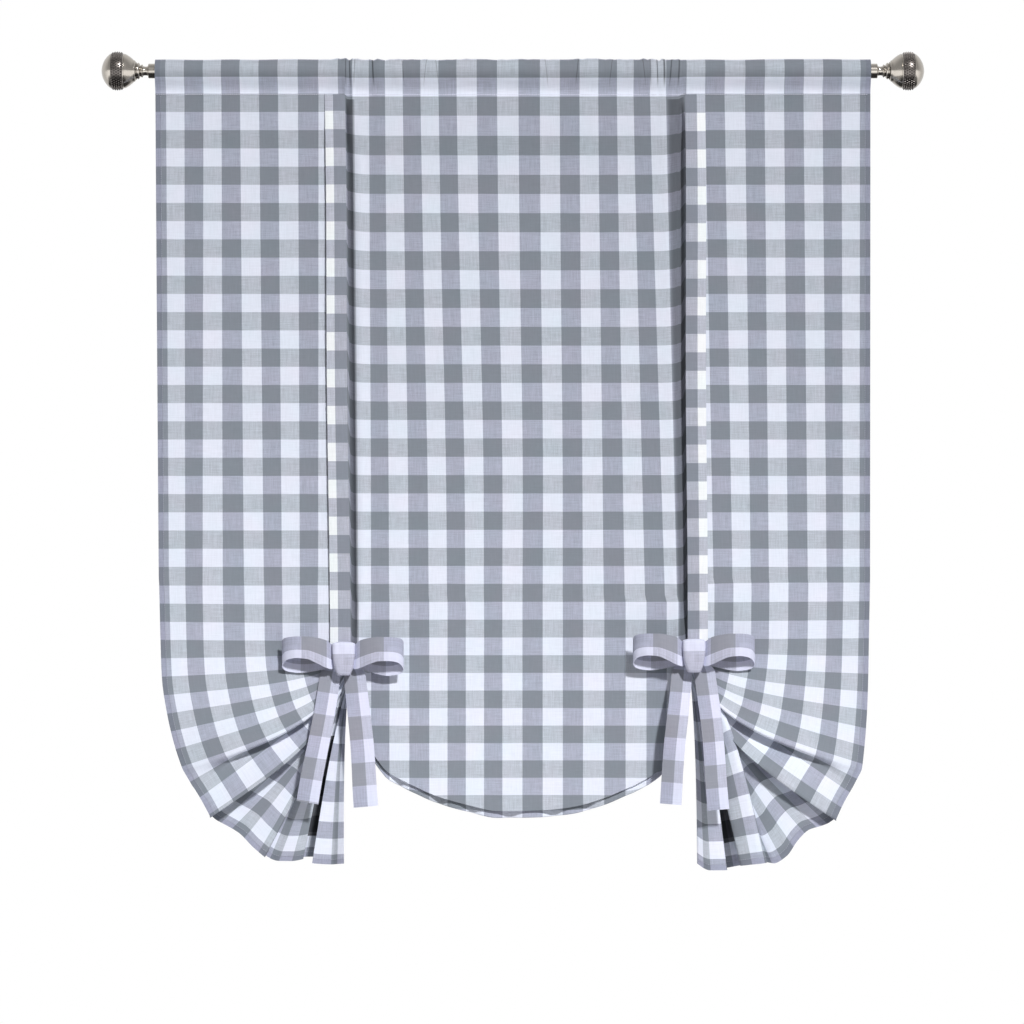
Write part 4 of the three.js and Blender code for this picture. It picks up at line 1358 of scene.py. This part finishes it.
paleThread = makeThread("paleThread", srgb(236, 236, 248), srgb(206, 207, 222))
hemThread = makeThread("hemThread", srgb(172, 175, 188), srgb(150, 153, 166))
frontSkin = cloth["thickness"] / 2 + thread["thickness"] * 0.3


def skinPath(cells, row):
    path = []
    for cell in cells:
        (x, y, z), _ = upperPoint(cell, row)
        path.append((x, y - frontSkin, z))
    return path


def sidePath(cell):
    path = [skinPath([cell], row)[0] for row in evenly(140, 0.1, cloth["fanCell"] + leftFan[0]["cell"])]
    for turn in evenly(260, 0.005, 0.985):
        (x, y, z), _ = lowerRow([cell], turn)[0]
        path.append((x, y - frontSkin, z))
    return path


seams = {"fromEdge": 0.05, "belowPocket": 0.04, "sideHem": 0.3}  # in cells
pocketCells = evenly(400, seams["fromEdge"], cloth["cellsWide"] - seams["fromEdge"])
makeStitches("pocketStitches", skinPath(pocketCells, seams["belowPocket"]), paleThread)
makeStitches("leftHemStitches", sidePath(seams["sideHem"]), hemThread)
makeStitches("rightHemStitches", sidePath(cloth["cellsWide"] - seams["sideHem"]), hemThread)
print("stitches made")

# ---------- studio ----------

studio = {
    "distance": 7.0,
    "frameWidth": 1.528,
    "aimX": -0.0013,
    "aimZ": -0.658,
    "floorZ": -1.8,
    "floorRadius": 2.2,
    "ambient": 0.17,
}


# What the metal mirrors, by direction: the room is dim behind the camera, with a long bright window,
# and dark low down. Each pair is where a shade starts and how steeply it grows.
room = {
    "front": (0.45, 1.7),
    "low": (-0.45, 5.0),
    "sides": (0.85, 4.0),
    "frontDim": 0.5,
    "lowDim": 0.95,
    "windowMiddle": -0.22,
    "windowHalf": 0.25,
    "windowLight": 1.3,
}


def mirroredRoom(tree):
    x, y, z = splitXyz(tree, tree.nodes.new("ShaderNodeTexCoord").outputs["Generated"])

    def growing(value, part):
        start, steepness = room[part]
        return clamped(tree, times(tree, minus(tree, start, value), steepness))

    front = growing(y, "front")
    low = times(tree, growing(z, "low"), growing(calc(tree, "ABSOLUTE", x), "sides"))
    window = calc(tree, "LESS_THAN", apart(tree, z, room["windowMiddle"]), room["windowHalf"])
    dim = calc(tree, "MAXIMUM", times(tree, front, room["frontDim"]), times(tree, low, room["lowDim"]))
    return plus(tree, minus(tree, 1.0, dim), times(tree, window, front, room["windowLight"]))


def makeWorld():
    world = bpy.data.worlds.new("studioWorld")
    bpy.context.scene.world = world
    world.use_nodes = True
    tree = world.node_tree
    background = tree.nodes["Background"]
    path = tree.nodes.new("ShaderNodeLightPath").outputs
    mirrors = calc(tree, "MAXIMUM", path["Is Glossy Ray"], path["Is Transmission Ray"])
    seen = calc(tree, "MAXIMUM", path["Is Camera Ray"], mirrors)
    strength = plus(tree, studio["ambient"], times(tree, seen, 1.0 - studio["ambient"]))
    mirrored = times(tree, path["Is Glossy Ray"], minus(tree, 1.0, path["Is Camera Ray"]))
    lit = plus(tree, 1.0, times(tree, mirrored, minus(tree, mirroredRoom(tree), 1.0)))
    plug(tree, background.inputs["Color"], (1.0, 1.0, 1.0, 1.0))
    plug(tree, background.inputs["Strength"], times(tree, strength, lit))


def makeFloor():
    bpy.ops.object.select_all(action="DESELECT")
    bpy.ops.mesh.primitive_cylinder_add(
        vertices=96,
        radius=studio["floorRadius"],
        depth=0.02,
        location=(0, 0, studio["floorZ"]),
    )
    floor = bpy.context.object
    floor.name = "studioFloor"
    material, tree, shader = newMaterial("paleFloor", {"Roughness": 0.8})
    cloud = cloudy(tree, tree.nodes.new("ShaderNodeTexCoord").outputs["Object"], 3.0)
    colour = blendColour(tree, "MIX", cloud, srgb(246, 246, 246), srgb(250, 250, 250))
    plug(tree, shader.inputs["Base Color"], colour)
    floor.data.materials.append(material)
    floor.visible_glossy = False


# The key light stands high in front to the right, and a large soft lamp low in front lifts the fans.
keyLamp = {"turn": 21, "height": 34, "strength": 3.1, "spread": 5}
fillLamp = {"place": (0.6, -2.6, -1.3), "size": 1.6, "power": 4}


def makeLamp(name, kind, place):
    data = bpy.data.lights.new(name, kind)
    holder = bpy.data.objects.new(name, data)
    bpy.context.scene.collection.objects.link(holder)
    holder.location = place
    aim = Vector((0, 0, studio["aimZ"])) - holder.location
    holder.rotation_euler = aim.to_track_quat("-Z", "Y").to_euler()
    return data


def makeLamps():
    turn, height = (math.radians(keyLamp[part]) for part in ("turn", "height"))
    way = Vector((math.sin(turn) * math.cos(height), -math.cos(turn) * math.cos(height), math.sin(height)))
    key = makeLamp("keyLamp", "SUN", way * 5 + Vector((0, 0, studio["aimZ"])))
    key.energy = keyLamp["strength"]
    key.angle = math.radians(keyLamp["spread"])
    fill = makeLamp("fillLamp", "AREA", fillLamp["place"])
    fill.shape = "SQUARE"
    fill.size = fillLamp["size"]
    fill.energy = fillLamp["power"]


def makeCamera():
    data = bpy.data.cameras.new("studioCamera")
    data.sensor_width = 36
    data.lens = data.sensor_width * studio["distance"] / studio["frameWidth"]
    data.clip_end = 100
    camera = bpy.data.objects.new("studioCamera", data)
    bpy.context.scene.collection.objects.link(camera)
    camera.location = (studio["aimX"], -studio["distance"], studio["aimZ"])
    camera.rotation_euler = (math.pi / 2, 0, 0)
    bpy.context.scene.camera = camera


makeWorld()
makeFloor()
makeLamps()
makeCamera()
bpy.context.scene.view_settings.view_transform = "Standard"
print("studio made")
